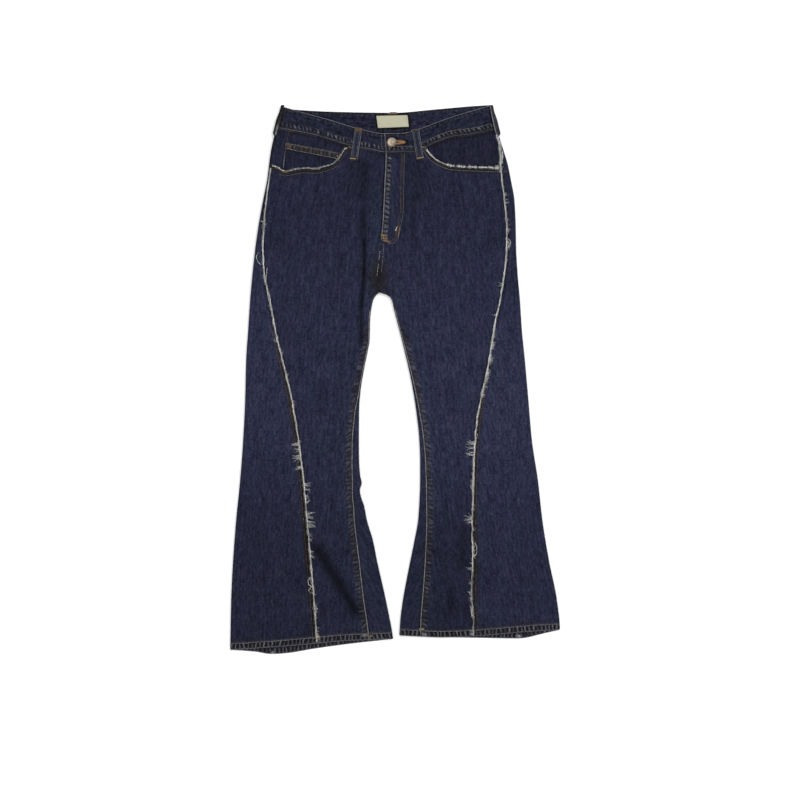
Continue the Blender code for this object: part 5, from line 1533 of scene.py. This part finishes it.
top_bed = Bed(waistband, *fronts.values(), *sides.values(), *backs.values(), *facings.values(), coin_pocket)
INSEAM_SEWN_FROM = 372.0
HEM_STITCHES = 10.7
right_x, left_x = np.linspace(-221, -85, 120), np.linspace(57.5, 203, 120)
right_mouth, left_mouth = curve(right_x, RIGHT.pocket), curve(left_x, LEFT.pocket)
fly_curve = np.array([
    (12.4, 89.0), (11.4, 140.0), (10.6, 186.0), (10.0, 196.0), (8.6, 205.0), (6.4, 217.0), (4.6, 231.0),
    (1.6, 240.0), (-4.5, 246.4), (-12.0, 247.6),
])
rows = [
    row(beside(right_mouth, 4.0), 0.12, 0.08, width=0.95),
    row(beside(right_mouth[15:100], 8.4), 0.86, width=0.42),
    row(beside(left_mouth, 3.2), 0.14, 0.08, width=0.95),
    row(beside(left_mouth, 6.6), 0.86, width=0.6),
    row([(-195.5, 71.6), (-101.0, 90.0)], 0.88, width=0.70),
    row([(-195.5, 74.0), (-140.0, 84.8)], 0.14, 0.08, width=0.70),
    row([(-195.5, 81.2), (-101.0, 99.6)], 0.88, width=0.80),
    row([(-190.3, 50.0), (-195.5, 78.0)], 0.25, width=0.8),
    row([(-195.5, 72.0), (-200.2, 116.0)], 0.92, 0.03, width=0.8),
    row(fly_curve, 0.27, 0.08, width=0.80),
    row(beside(fly_curve, -2.4), 0.10, 0.10, width=0.85),
    row(beside(fly_curve, -5.4), 0.84, 0.03, width=0.50),
]
for leg, seam_start in ((RIGHT, 400.0), (LEFT, 500.0)):
    hem = float(leg.front_hem(leg.side * 140.0))
    for off, shade in ((3.8, 0.10), (7.4, 0.24)):
        line = down_leg(leg, seam_start, hem - HEM_WIDTH, lambda d: leg.seam(d) - SEAM - off)
        rows.append(row(line, shade, 0.14, width=0.7))
    for off, shade, width in ((1.4, 0.94, 0.85), (4.4, 0.06, 0.9)):
        line = down_leg(leg, INSEAM_SEWN_FROM, hem - 4, lambda d: inseam_end(leg, d) - off)
        rows.append(row(line, shade, 0.04, width=width))
rows += [
    row([(-25.8, 256.0), (-26.8, 272.0), (-28.6, 286.0), (-31.6, 309.0)], 0.97, 0.02, width=0.7),
    row([(-20.0, 252.0), (-20.8, 274.0), (-23.4, 304.0)], 0.88, 0.06, length=2.2, width=0.55),
    row([(186.6, 62.0), (187.6, 78.0), (189.0, 98.0)], 0.30, width=0.8),
]
for leg in (RIGHT, LEFT):
    fold = float(leg.fold(960.0))
    x = np.linspace(fold + 2.0 * -leg.side, float(leg.inner(955.0)) + 2.0 * leg.side, 200)
    rows.append(row(curve(x, leg.front_hem, -HEM_STITCHES), 0.90, 0.06, width=0.65))
topstitch_front = sew("topstitch_front", rows, top_bed)

rows = []
for low, high, upper, upper_shade in ((-200.0, 7.0, 12.0, 0.12), (-14.0, 172.0, 10.4, 0.86)):
    x = np.linspace(low, high, 160)
    rows.append(row(curve(x, front_band_top, 3.4), 0.10, width=0.35))
    x = np.linspace(low - 6.0, high + 4.0, 160)
    rows.append(row(curve(x, front_band_seam, -2.7), 0.14, 0.06))
    rows.append(row(curve(x, front_band_seam, -upper), upper_shade, 0.06, width=0.5))
rows.append(row([(-23.8, 57.0), (-22.4, 82.0)], 0.86, 0.03, width=0.5))
rows.append(row(curve(np.linspace(-196, 168, 160), back_band_top, 3.4), 0.10, 0.06, width=0.5))
topstitch_band = sew("topstitch_band", rows, top_bed)

loop_bed = Bed(*loops.values())
rows = []
for x1, down1, x2, down2 in FRONT_LOOPS.values():
    line = np.array([(lerp(x1, x2, t), lerp(down1, down2, t)) for t in np.linspace(0.09, 0.92, 12)])
    rows += [row(beside(line, off), 0.88, 0.06, width=0.42) for off in (3.4, -3.4)]
for path, shade in ((3.2, 0.14), (5.4, 0.08)):
    rows.append(row(down_leg(RIGHT, 6.0, 55.0, lambda d: path + 0 * d), shade, 0.06))
topstitch_loops = sew("topstitch_loops", rows, loop_bed)

under_pieces = (*backs.values(), *sides.values(), *back_pockets.values(), waistband, loops["back"])
under_bed = Bed(*under_pieces, under=True)
rows = []
for leg in (RIGHT, LEFT):
    hem = float(leg.back_hem(leg.side * 150.0))
    line = down_leg(leg, 60.0, hem - HEM_WIDTH, lambda d: -(leg.back_seam(d) + 3.0))
    rows.append(row(line, 0.30, 0.08))
    start, end = float(middle(110.0)) + 5.0 * leg.side, float(leg.fold(90.0)) - 34.0 * leg.side
    x = np.linspace(start, end, 80)
    rows += [row(curve(x, yoke_seam, -off), 0.30, 0.08) for off in (2.2, 7.6)]
    for inset in (2.4, 8.0):
        side, tip = POCKET_SIDE - inset * 0.3, POCKET_TIP - inset * 1.05
        top_x, side_x = POCKET_HALF - inset, POCKET_HALF * POCKET_TAPER - inset
        outline = np.array([(-top_x, 0), (-side_x, side), (0, tip), (side_x, side), (top_x, 0)])
        share = np.linspace(0, 1, 30, endpoint=False)[:, None]
        dense = np.concatenate([lerp(a, b, share) for a, b in zip(outline, outline[1:])])
        line = np.stack(pocket_place(leg, dense[:, 0], dense[:, 1]), axis=1)
        rows.append(row(line, 0.36, 0.08))
    across = np.linspace(-POCKET_HALF + 1, POCKET_HALF - 1, 60)
    turn = pocket_turn(leg)
    for off in (3.0, 14.0):
        x, down = pocket_centre(leg) + across * math.cos(turn), POCKET_TOP + off + across * math.sin(turn)
        rows.append(row(np.stack([x, down], axis=1), 0.36, 0.08))
    start, end = float(leg.fold(960.0)) - 3.0 * leg.side, float(leg.inner(955.0)) + 3.0 * leg.side
    rows.append(row(curve(np.linspace(start, end, 160), leg.back_hem, -HEM_STITCHES), 0.86, 0.06))
for off in (2.2, 7.6):
    rows.append(row([(float(middle(d)) + off, d) for d in np.arange(124, 334, 3.0)], 0.34, 0.08))
x = np.linspace(-200, 172, 160)
for line, off in ((back_band_top, 2.8), (back_band_seam, -2.8)):
    rows.append(row(curve(x, line, off), 0.82, 0.06))
topstitch_back = sew("topstitch_back", rows, under_bed, under=True, sunk=0.15)

# ---- Bar tacks and buttonhole ------------------------------------------------------------
# Short bars of rust and gold thread hold the loops, the pocket corners, the foot of the fly
# and the hems' seams. The keyhole in the waistband is whipped round in orange thread.

seam_hem = [float(section(leg, 955.0, leg.seam(955.0))[0]) for leg in (RIGHT, LEFT)]
# The foot of the fly: the left end of each bar and its shade.
FLY_FOOT = (
    (-24.4, 234.0, 0.22), (-24.8, 236.2, 0.56), (-24.6, 238.6, 0.34), (-24.0, 241.0, 0.60),
    (-22.6, 243.4, 0.40), (-20.6, 245.8, 0.52), (-19.0, 247.8, 0.30),
)
rows = [
    row([(x, down), (x + 12.6, down + 3.4)], shade, 0.06, pitch=3.0, length=3.6, width=1.5, crooked=0.16)
    for x, down, shade in FLY_FOOT
]
BARS = (
    # x1, down1, x2, down2, width, shade, spread
    (2.4, 236.0, 6.4, 218.5, 3.6, 0.06, 0.04),
    (6.6, 240.0, 9.0, 222.0, 2.0, 0.45, 0.04),
    # A painted glint: a short bar of the palest thread at the end of the fly's stitching.
    (1.8, 229.4, 4.6, 222.0, 2.2, 1.00, 0.02),
    (-194.0, 73.4, -185.0, 75.0, 3.6, 0.20, 0.08),
    (-194.0, 76.2, -185.0, 78.0, 3.0, 0.27, 0.08),
    (-194.0, 79.6, -186.0, 81.2, 2.6, 0.24, 0.10),
    (-103.5, 93.0, -100.5, 98.0, 2.6, 0.42, 0.10),
    (-106.0, 92.0, -103.6, 96.6, 2.2, 0.06, 0.04),
    (-84.0, 77.2, -76.6, 80.6, 5.0, 0.26, 0.16),
    (-203.0, 122.5, -193.0, 124.5, 3.0, 0.26, 0.14),
    (48.5, 78.4, 57.4, 79.4, 2.6, 0.57, 0.08),
    (47.6, 82.4, 58.0, 83.6, 3.2, 0.07, 0.04),
    (41.0, 74.0, 43.5, 76.0, 2.6, 0.44, 0.08),
    (-53.0, 958.0, -38.5, 958.5, 4.4, 0.34, 0.16),
    (44.5, 945.5, 53.0, 946.5, 2.6, 0.58, 0.10),
    (seam_hem[0] + 1.0, 954.0, seam_hem[0] + 5.0, 966.0, 3.2, 0.44, 0.14),
    (-189.5, 49.0, -186.0, 49.6, 2.4, 0.44, 0.10),
)
rows += [tack(*bar) for bar in BARS]
tacks = sew("bar_tacks", rows, top_bed, sunk=-0.05)
LOOP_BARS = (
    (-71.5, 45.4, -57.8, 46.8, 3.6, 0.30, 0.12),
    (-71.9, 48.6, -58.2, 50.0, 3.4, 0.24, 0.12),
    (-72.2, 51.6, -58.6, 53.0, 2.4, 0.10, 0.08),
    (-79.6, 95.2, -67.6, 96.4, 4.0, 0.05, 0.03),
    (-80.2, 98.9, -70.2, 99.9, 2.0, 0.62, 0.03),
    (-69.4, 97.0, -65.6, 99.4, 4.0, 0.08, 0.06),
    (-80.0, 101.4, -68.0, 102.2, 2.0, 0.06, 0.03),
    (30.6, 48.0, 43.6, 46.0, 1.9, 0.62, 0.05),
    (31.6, 50.6, 45.6, 49.0, 2.8, 0.10, 0.06),
    (39.6, 95.6, 52.4, 93.4, 3.4, 0.05, 0.03),
    (41.0, 98.8, 52.6, 96.6, 1.6, 0.62, 0.04),
    (40.6, 101.0, 53.4, 98.8, 2.0, 0.06, 0.03),
    (-11.7, 18.0, 4.5, 18.0, 2.6, 0.40, 0.08),
)
bars_bed = Bed(*loops.values(), *fronts.values(), waistband)
loop_tacks = sew("loop_tacks", [tack(*bar) for bar in LOOP_BARS], bars_bed, sunk=-0.05)

keyhole = np.array([
    (1.0, 70.2), (4.0, 68.2), (7.0, 68.5), (13.0, 68.8), (16.4, 69.2), (18.2, 69.9), (16.4, 70.7),
    (13.0, 71.3), (7.0, 72.0), (4.0, 72.5), (1.0, 70.8),
])
spot, way = spaced(keyhole, 0.42)
count = len(spot)
over = turned_left(way)
size = np.stack([chance.uniform(1.3, 2.0, count), np.full(count, 0.6)], axis=1)
whipping = np.concatenate([spot, over, size, chance.uniform(0.69, 0.77, (count, 1))], axis=1)
round_button = np.radians(np.linspace(118.0, 262.0, 24))
round_button = np.stack([-4.0 + 9.4 * np.cos(round_button), 70.9 - 8.6 * np.sin(round_button)], axis=1)
rust = [
    row(beside(keyhole, -1.8), 0.40, 0.06, pitch=1.3, length=1.8, width=1.7),
    row(round_button, 0.42, 0.08, pitch=1.4, length=1.8, width=2.2),
]
slit = row([(6.0, 70.2), (15.0, 70.0)], 0.30, 0.04, pitch=1.4, length=2.0, width=0.9)
buttonhole = sew("buttonhole", [*rust, whipping, slit], Bed(waistband), sunk=-0.1)

# ---- Frayed edges ------------------------------------------------------------------------
# The raw edges of the fronts have lost their indigo warp, and the white weft is left: a matted
# line of thread ends along the seams and the pocket mouths, with loose tufts, webs and loops.

fray = Finish("undyed_threads", Roughness=0.9, Specular_IOR_Level=0.1, Sheen_Weight=0.1)
spot = fray.add("ShaderNodeTexCoord", out="Object")
fuzz = fray.cloud(spot, scale=1500.0, detail=2.0, rough=0.7)
soil = fray.cloud(spot, scale=90.0, detail=2.0)
stops = (
    (0.0, (0.030, 0.032, 0.050)),
    (0.25, (0.110, 0.113, 0.125)),
    (0.5, (0.260, 0.262, 0.260)),
    (0.75, (0.460, 0.460, 0.450)),
    (1.0, (0.740, 0.740, 0.720)),
)
shade = (fray.number("shade") + soil * 0.35).within()
ramp = fray.add("ShaderNodeValToRGB", {"stops": stops}, {0: shade})
undyed_threads = fray.ends_in(
    Base_Color=fray.tint(ramp, fuzz * 0.8 + 1.0), Normal=fray.bumped(fuzz, 0.0003, 0.8)
)


class Threads:
    """Loose threads that are gathered up and then made one piece."""

    def __init__(self, bed):
        self.bed, self.points, self.faces, self.shades, self.count = bed, [], [], [], 0

    def lay(self, x, down, rise, radius, shade):
        """Threads through rows of places, each a three-sided tube that tapers to its end."""
        z = np.maximum.reduce([self.bed.height(x + off, down) for off in (-0.6, 0.0, 0.6)]) + rise
        line = place(x, down, z)
        way = np.gradient(line, axis=1)
        way = way / np.maximum(np.linalg.norm(way, axis=2, keepdims=True), 1e-12)
        side = np.cross(way, np.array([0.0, 0.0, 1.0]))
        side = side / np.maximum(np.linalg.norm(side, axis=2, keepdims=True), 1e-12)
        square = np.cross(side, way)
        radius = np.broadcast_to(radius, x.shape)[..., None] * MM
        turns = np.radians([90.0, 210.0, 330.0])
        rings = [line + radius * (math.cos(a) * side + math.sin(a) * square) for a in turns]
        points = np.stack(rings, axis=2)
        many, joints = x.shape
        index = self.count + np.arange(many * joints * 3).reshape(many, joints, 3)
        a, b = index[:, :-1], index[:, 1:]
        for i in range(3):
            j = (i + 1) % 3
            wall = np.stack([a[..., i], b[..., i], b[..., j], a[..., j]], axis=-1)
            self.faces += wall.reshape(-1, 4).tolist()
        self.faces += index[:, 0].tolist() + index[:, -1, ::-1].tolist()
        self.points.append(points.reshape(-1, 3))
        self.shades.append(np.repeat(np.broadcast_to(shade, (many, joints)).reshape(-1), 3))
        self.count += many * joints * 3

    def tuft(self, root, heading, length, bow, shade, radius=0.30, joints=5, rise=(0.3, 1.0)):
        """Short threads from their roots, each on a bent course of its own."""
        many = len(root)
        t = np.linspace(0, 1, joints)[None, :]
        bend = heading[:, None] + bow[:, None] * t + chance.normal(0, 0.22, (many, joints)) * t
        step = (length / (joints - 1))[:, None]
        x, down = (
            root[:, i : i + 1] + np.insert(np.cumsum(turn(bend[:, 1:]) * step, axis=1), 0, 0.0, axis=1)
            for i, turn in enumerate((np.cos, np.sin))
        )
        up = chance.uniform(rise[0], rise[1], (many, 1)) * (0.6 + 0.7 * np.sin(t * math.pi))
        thick = radius * chance.uniform(0.7, 1.25, (many, 1)) * (1.0 - 0.45 * t)
        self.lay(x, down, up, thick, shade[:, None])

    def strand(self, line, wander, shade, radius=0.34, step=2.2, rise=0.5, paler=None):
        """A long thread that wanders along a line."""
        spot, way = spaced(line, step)
        shade = shade + (paler(spot) if paler else 0.0)
        count = len(spot)
        if count < 3:
            return
        sway = np.convolve(chance.normal(0, 1, count + 4), [0.2, 0.5, 0.8, 0.5, 0.2], "valid") * wander
        spot = spot + turned_left(way) * sway[:, None]
        rises = rise + 0.35 * np.convolve(chance.normal(0, 1, count + 2), [0.5, 0.7, 0.5], "valid")
        swell = 1 + 0.30 * np.convolve(chance.normal(0, 1, count + 8), np.full(9, 0.45), "valid")
        thick = radius * chance.uniform(0.75, 1.2, count) * np.clip(swell, 0.45, 1.7)
        blotch = 0.16 * np.convolve(chance.normal(0, 1, count + 6), np.full(7, 0.5), "valid")
        shades = np.clip(shade + blotch + chance.normal(0, 0.10, count), 0, 1)
        rises = np.maximum(rises, 0.2)
        self.lay(spot[None, :, 0], spot[None, :, 1], rises[None], thick[None], shades[None])

    def finish(self, name, node):
        points, shades = np.concatenate(self.points), np.concatenate(self.shades)
        piece = thread_piece(name, points, self.faces, shades, undyed_threads)
        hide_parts(node)
        return piece


# A stretch of the seam with long threads: where it starts and ends down the leg, which side
# they lie on (1 is outwards), how long, how many to a millimetre, their lean and their curl.
TUFTS = {
    # from, to, side, length, to a millimetre, lean, curl
    "right": (
        (118, 205, 1, 3.0, 0.5, 0.8, 0.6), (206, 226, 1, 6.5, 0.6, 1.2, 1.8),
        (226, 290, 1, 3.6, 0.5, 0.9, 1.0), (290, 372, 1, 5.5, 0.6, 1.0, 0.6),
        (372, 440, 1, 3.5, 0.4, 0.6, 0.6), (440, 456, -1, 5.5, 0.8, -0.9, 0.5),
        (485, 501, -1, 6.5, 0.8, -0.8, 0.5), (501, 537, -1, 3.0, 0.4, -0.5, 0.6),
        (537, 545, -1, 6.5, 0.8, -0.5, 0.6), (607, 615, -1, 6.0, 0.9, -0.4, 0.6),
        (609, 627, 1, 14.0, 1.5, 0.5, 0.7), (631, 643, 1, 15.0, 1.7, 0.3, 0.7),
        (651, 658, 1, 15.0, 1.8, 0.1, 0.6), (682, 697, -1, 13.0, 1.3, 0.5, 0.5),
        (705, 723, -1, 10.0, 1.0, -0.2, 0.6), (733, 765, -1, 16.0, 1.1, 0.2, 0.5),
        (773, 787, -1, 9.0, 1.1, 0.5, 1.6), (802, 818, -1, 9.0, 1.1, 0.3, 1.2),
        (831, 844, 1, 4.5, 1.6, 0.0, 0.9), (854, 880, 1, 7.5, 0.8, 0.9, 1.9),
        (901, 927, -1, 6.5, 0.8, 0.1, 1.0), (939, 966, -1, 7.5, 1.0, 0.1, 1.0),
    ),
    "left": (
        (56, 112, -1, 3.5, 0.9, 0.8, 0.8), (60, 160, 1, 4.0, 0.7, -0.9, 0.7),
        (161, 186, 1, 8.5, 0.8, -0.9, 0.4), (186, 220, 1, 5.5, 0.5, -0.7, 0.8),
        (220, 232, 1, 8.0, 1.2, -0.2, 1.2), (242, 265, 1, 6.5, 0.7, 0.6, 1.9),
        (265, 318, 1, 3.2, 0.4, 0.4, 0.8), (322, 328, -1, 9.5, 1.2, -0.1, 0.8),
        (379, 387, -1, 10.5, 0.9, -0.4, 0.8), (404, 424, 1, 5.5, 2.2, -0.4, 0.8),
        (428, 446, 1, 8.0, 2.2, -0.5, 0.6), (452, 470, 1, 7.6, 2.0, -0.3, 0.8),
        (478, 499, 1, 7.6, 2.2, -0.3, 1.2), (504, 528, 1, 7.0, 1.8, -0.3, 0.8),
        (537, 606, 1, 3.2, 0.5, -0.3, 0.6), (606, 636, -1, 16.0, 1.5, -0.2, 0.4),
        (640, 655, -1, 5.0, 0.9, 0.2, 0.6), (660, 700, -1, 6.5, 1.3, 0.5, 1.6),
        (722, 733, 1, 4.5, 1.4, 0.3, 0.8), (743, 757, -1, 16.0, 1.4, 0.5, 0.4),
        (763, 770, 1, 6.0, 1.4, 0.0, 0.6), (795, 817, 1, 7.5, 1.1, 0.6, 1.2),
        (818, 830, -1, 5.0, 1.0, 0.4, 1.2), (834, 842, -1, 12.0, 1.3, 0.1, 0.4),
        (861, 866, -1, 8.0, 1.3, 0.0, 0.5), (872, 896, -1, 6.5, 1.0, 0.5, 1.6),
        (904, 926, -1, 6.5, 0.9, 0.8, 1.8), (941, 961, -1, 7.0, 1.2, 0.4, 1.0),
    ),
}
LOOSE = {
    "right": (
        ((-243.9, 267.3), (-248.4, 274.5), (-247.6, 281.0), (-245.7, 285.3), (-240.3, 290.7)),
        ((-229.5, 295.0), (-232.0, 320.0), (-227.0, 350.0), (-221.0, 372.0), (-216.0, 396.0)),
        ((-214.0, 420.0), (-217.0, 427.0), (-211.5, 430.0), (-213.5, 423.0)),
        ((-150.0, 852.0), (-157.0, 859.0), (-154.0, 866.0), (-150.0, 870.0), (-155.0, 877.0),
         (-149.5, 882.0)),
    ),
    "left": (
        ((203.5, 243.0), (209.0, 249.0), (207.5, 258.0), (200.0, 263.0)),
        ((202.0, 247.0), (206.0, 252.5), (204.0, 259.0), (198.0, 261.0)),
        ((141.0, 873.0), (134.5, 880.0), (138.0, 888.0), (141.0, 893.0)),
        ((144.0, 790.0), (148.0, 797.0), (148.5, 808.0), (145.0, 816.0)),
        ((143.0, 905.0), (138.0, 911.0), (139.0, 920.0), (144.0, 926.0)),
    ),
}
SET_OFF = {
    "right": Line(
        (116, 0.0), (225, -0.6), (250, 1.0), (310, 1.4), (335, 0.4), (370, 0.4), (500, 1.2), (700, 1.3),
        (830, 0.2), (990, 1.3),
    ),
    "left": Line(
        (62, 0.0), (400, 0.2), (450, 1.2), (505, 3.2), (535, 3.0), (570, 1.2), (620, 1.6), (700, 1.6),
        (760, 0.8), (990, 0.4),
    ),
}
WHITENESS = {
    "right": Line((60, 0.0), (250, 0.02), (330, 0.10), (620, 0.14), (720, 0.0), (850, -0.16), (990, -0.20)),
    "left": Line((60, 0.0), (250, 0.04), (330, 0.20), (620, 0.24), (720, 0.02), (850, -0.18), (990, -0.40)),
}
frays = {}
on_edges = (*fronts.values(), *sides.values(), *facings.values(), coin_pocket, waistband)
edge_bed = Bed(*on_edges, loops["side_left"])
for leg, seam_start in ((RIGHT, 116.0), (LEFT, 56.0)):
    threads = Threads(edge_bed)
    out = leg.side

    def seam_place(down, off, leg=leg):
        """A place beside the frayed seam, off outwards or, below 0, inwards."""
        x, _, _ = section(leg, down, np.maximum(leg.seam(down) - SET_OFF[leg.name](down) - off, 0.5))
        return np.stack([x, down], axis=-1)

    seam_end = float(leg.front_hem(seam_place(np.array([950.0]), 0.0)[0, 0])) - 1.0
    downs = np.arange(seam_start, seam_end, 2.0)
    for off, wander, radius, shade in (
        (-0.7, 0.30, 0.36, 0.62), (0.0, 0.30, 0.50, 0.88), (0.7, 0.30, 0.38, 0.74), (0.1, 0.8, 0.26, 0.95),
        (1.7, 0.6, 0.18, 0.50),
    ):
        slack, girth = (1.0, 1.0) if leg is RIGHT else (1.15, 0.86)
        threads.strand(
            seam_place(downs, off * girth), wander * slack, shade, radius * girth,
            paler=lambda s: WHITENESS[leg.name](s[:, 1]),
        )
    many = int((seam_end - seam_start) * 1.5)
    root_down = chance.uniform(seam_start, seam_end, many)
    root = seam_place(root_down, chance.uniform(-0.9, 0.7, many))
    lean = chance.normal(0, 0.55, many)
    heading = np.where(chance.random(many) < 0.75, 0.0, math.pi) + (0.0 if out > 0 else math.pi) + lean
    threads.tuft(
        root, heading, chance.uniform(0.8, 2.4, many), chance.normal(0, 0.7, many),
        np.clip(chance.normal(0.62, 0.18, many), 0, 1), joints=4, radius=0.20,
    )
    for low, high, way, length, density, slant, hook in TUFTS[leg.name]:
        many = max(4, int((min(high, seam_end) - low) * density * (0.9 if length > 8.0 else 1.2)))
        root_down = chance.uniform(low, min(high, seam_end), many)
        root = seam_place(root_down, chance.uniform(-0.8, 1.0, many))
        side = way * out
        heading = (0.0 if side > 0 else math.pi) + side * (slant + chance.normal(0, 0.42, many))
        reach = length * chance.uniform(0.35, 1.15, many)
        if length > 8.0:
            webs = max(1, round((high - low) / 9.0))
            web = np.floor((root_down - low) / (high - low) * webs) + chance.choice([0.2, 0.5, 0.8])
            tip_down = low + web * (high - low) / webs
            tip = seam_place(tip_down, way * length) + np.array([0.0, slant * 4.0])
            run = tip - root
            stray = np.where(chance.random(many) < 0.18, 0.5, 0.07)
            heading = np.arctan2(run[:, 1], run[:, 0]) + chance.normal(0, 1.0, many) * stray
            reach = np.linalg.norm(run, axis=1) * chance.uniform(0.35, 1.10, many)
        hooked = hook * (0.4 if length > 8.0 else 1.0)
        threads.tuft(
            root, heading, reach, chance.normal(0, 0.3, many) + hooked * chance.choice([-1, 1], many),
            np.clip(chance.normal(0.84, 0.14, many), 0, 1), joints=6, radius=0.20, rise=(0.3, 1.3),
        )
    for line in LOOSE[leg.name]:
        for _ in range(2):
            bent = np.array(line) + chance.normal(0, 0.35, (len(line), 2))
            threads.strand(bent, 0.25, 0.80, 0.28, step=1.6, rise=0.7)
    if leg is LEFT:
        for off in (1.8, 2.8, 3.8, 4.8):
            threads.strand(seam_place(np.arange(58.0, 112.0, 2.0), off), 0.6, 0.72, 0.42)
        many = 70
        root = np.array([187.0, 115.0]) + chance.normal(0, 1.0, (many, 2)) * np.array([3.6, 3.0])
        threads.tuft(
            root, chance.uniform(0, 2 * math.pi, many), chance.uniform(2.0, 5.0, many),
            chance.normal(0, 1.2, many), np.clip(chance.normal(0.72, 0.15, many), 0, 1), rise=(0.4, 1.6),
        )
    frays["seam_" + leg.name] = threads.finish(f"fray_seam_{leg.name}_threads", f"fray_seam_{leg.name}")


def beaded(x):
    """How thickly the left mouth's threads are matted, in beads beyond the place where it frays."""
    return ease((x - 90.0) / 8.0) * ease(0.9 + np.sin(x * 0.95 + 1.9 * np.sin(x * 0.31)))


mouth_bed = Bed(*fronts.values(), *facings.values(), coin_pocket, *loops.values())
for leg, mouth in ((RIGHT, right_mouth), (LEFT, left_mouth)):
    threads = Threads(mouth_bed)
    end = float(seam_place(np.array([116.0]), 0.0)[0, 0]) if leg is LEFT else -224.0
    inside = mouth[np.abs(mouth[:, 0]) < abs(end) - 1.0]
    thin, dim = (0.72, 0.22) if leg is RIGHT else (1.0, 0.06)
    for off, wander, radius, shade in (
        (-0.6, 0.30, 0.40, 0.68), (0.0, 0.35, 0.48, 0.88), (0.6, 0.35, 0.40, 0.72), (0.0, 0.9, 0.28, 0.94),
    ):
        threads.strand(
            beside(inside, off), wander * (1.5 if leg is RIGHT else 1.0), shade - dim, radius * thin,
            paler=lambda s: -0.46 * ease((s[:, 0] - 90.0) / 8.0) * (1 - 0.7 * beaded(s[:, 0])),
        )
    spot, way = spaced(inside, 0.62)
    many = len(spot)
    fuzzy = ease((spot[:, 0] - 92.0) / 8.0) if leg is LEFT else 0.35 + 0.3 * np.sin(spot[:, 0] * 0.13)
    upward = np.arctan2(-way[:, 0], way[:, 1])
    for turn in (0.0, 0.7, -0.7):
        root = spot + turned_left(way) * chance.uniform(-0.8, 0.6, (many, 1))
        matted = beaded(spot[:, 0]) * (1 - 0.3 * ease((spot[:, 0] - 140.0) / 20.0)) if leg is LEFT else fuzzy
        length = chance.uniform(0.6, 1.5, many) + matted * chance.uniform(0.3, 4.2, many)
        threads.tuft(
            root, upward + turn + chance.normal(0, 0.5, many), length, chance.normal(0, 0.9, many),
            np.clip(
                chance.normal(0.76 - dim * 1.4, 0.20, many) - 0.25 * (fuzzy - matted) * (leg is LEFT),
                0, 1,
            ),
            joints=4, radius=0.24 * thin,
        )
    knots = spot[beaded(spot[:, 0]) > 0.6][::3] if leg is LEFT else spot[::12]
    knots = knots[chance.random(len(knots)) < 0.8] - np.array([0.0, 0.7])
    many = len(knots)
    for _ in range(3):
        threads.tuft(
            knots + chance.normal(0, 0.7, (many, 2)), chance.uniform(0, 2 * math.pi, many),
            chance.uniform(0.8, 1.6, many), chance.normal(0, 1.6, many), np.full(many, 1.0),
            joints=4, radius=0.80 * thin, rise=(0.8, 1.3),
        )
    frays["pocket_" + leg.name] = threads.finish(
        f"fray_pocket_{leg.name}_threads", f"fray_pocket_{leg.name}"
    )

# ---- Floor, light and camera -------------------------------------------------------------
# A plain white table, a broad soft light high on the right and a weaker one on the left, and
# a camera straight above.

bpy.ops.object.select_all(action="DESELECT")
bpy.ops.mesh.primitive_plane_add(size=12.0, location=(0, 0, -0.0005))
table_top = bpy.context.object
table_top.name = "table_top"
table_finish = Finish("white_table", Roughness=0.9, Specular_IOR_Level=0.1)
speck = table_finish.cloud(table_finish.add("ShaderNodeTexCoord", out="Object"), scale=40.0) + 0.5
table_top.data.materials.append(
    table_finish.ends_in(Base_Color=table_finish.blend(speck, (0.95, 0.95, 0.95), (0.97, 0.97, 0.97)))
)


def soft_light(name, spot, size, power):
    lamp = bpy.data.lights.new(name, "AREA")
    lamp.shape, lamp.size, lamp.energy = "SQUARE", size, power
    light = bpy.data.objects.new(name, lamp)
    bpy.context.scene.collection.objects.link(light)
    light.location = spot
    light.rotation_euler = (-Vector(spot)).to_track_quat("-Z", "Y").to_euler()


soft_light("key_light", (1.7, 1.4, 2.3), 1.8, 56.0)
soft_light("fill_light", (-2.0, -0.8, 2.8), 2.6, 30.0)
world = bpy.data.worlds.new("studio")
world.use_nodes = True
world.node_tree.nodes["Background"].inputs["Color"].default_value = (1.0, 1.0, 1.0, 1.0)
world.node_tree.nodes["Background"].inputs["Strength"].default_value = 0.9
bpy.context.scene.world = world
bpy.context.scene.view_settings.view_transform = "Standard"

lens = bpy.data.cameras.new("camera")
lens.lens, lens.sensor_width = 85.0, 36.0
camera = bpy.data.objects.new("camera", lens)
bpy.context.scene.collection.objects.link(camera)
camera.location = (0.0090, -0.0368, 3.405)
bpy.context.scene.camera = camera
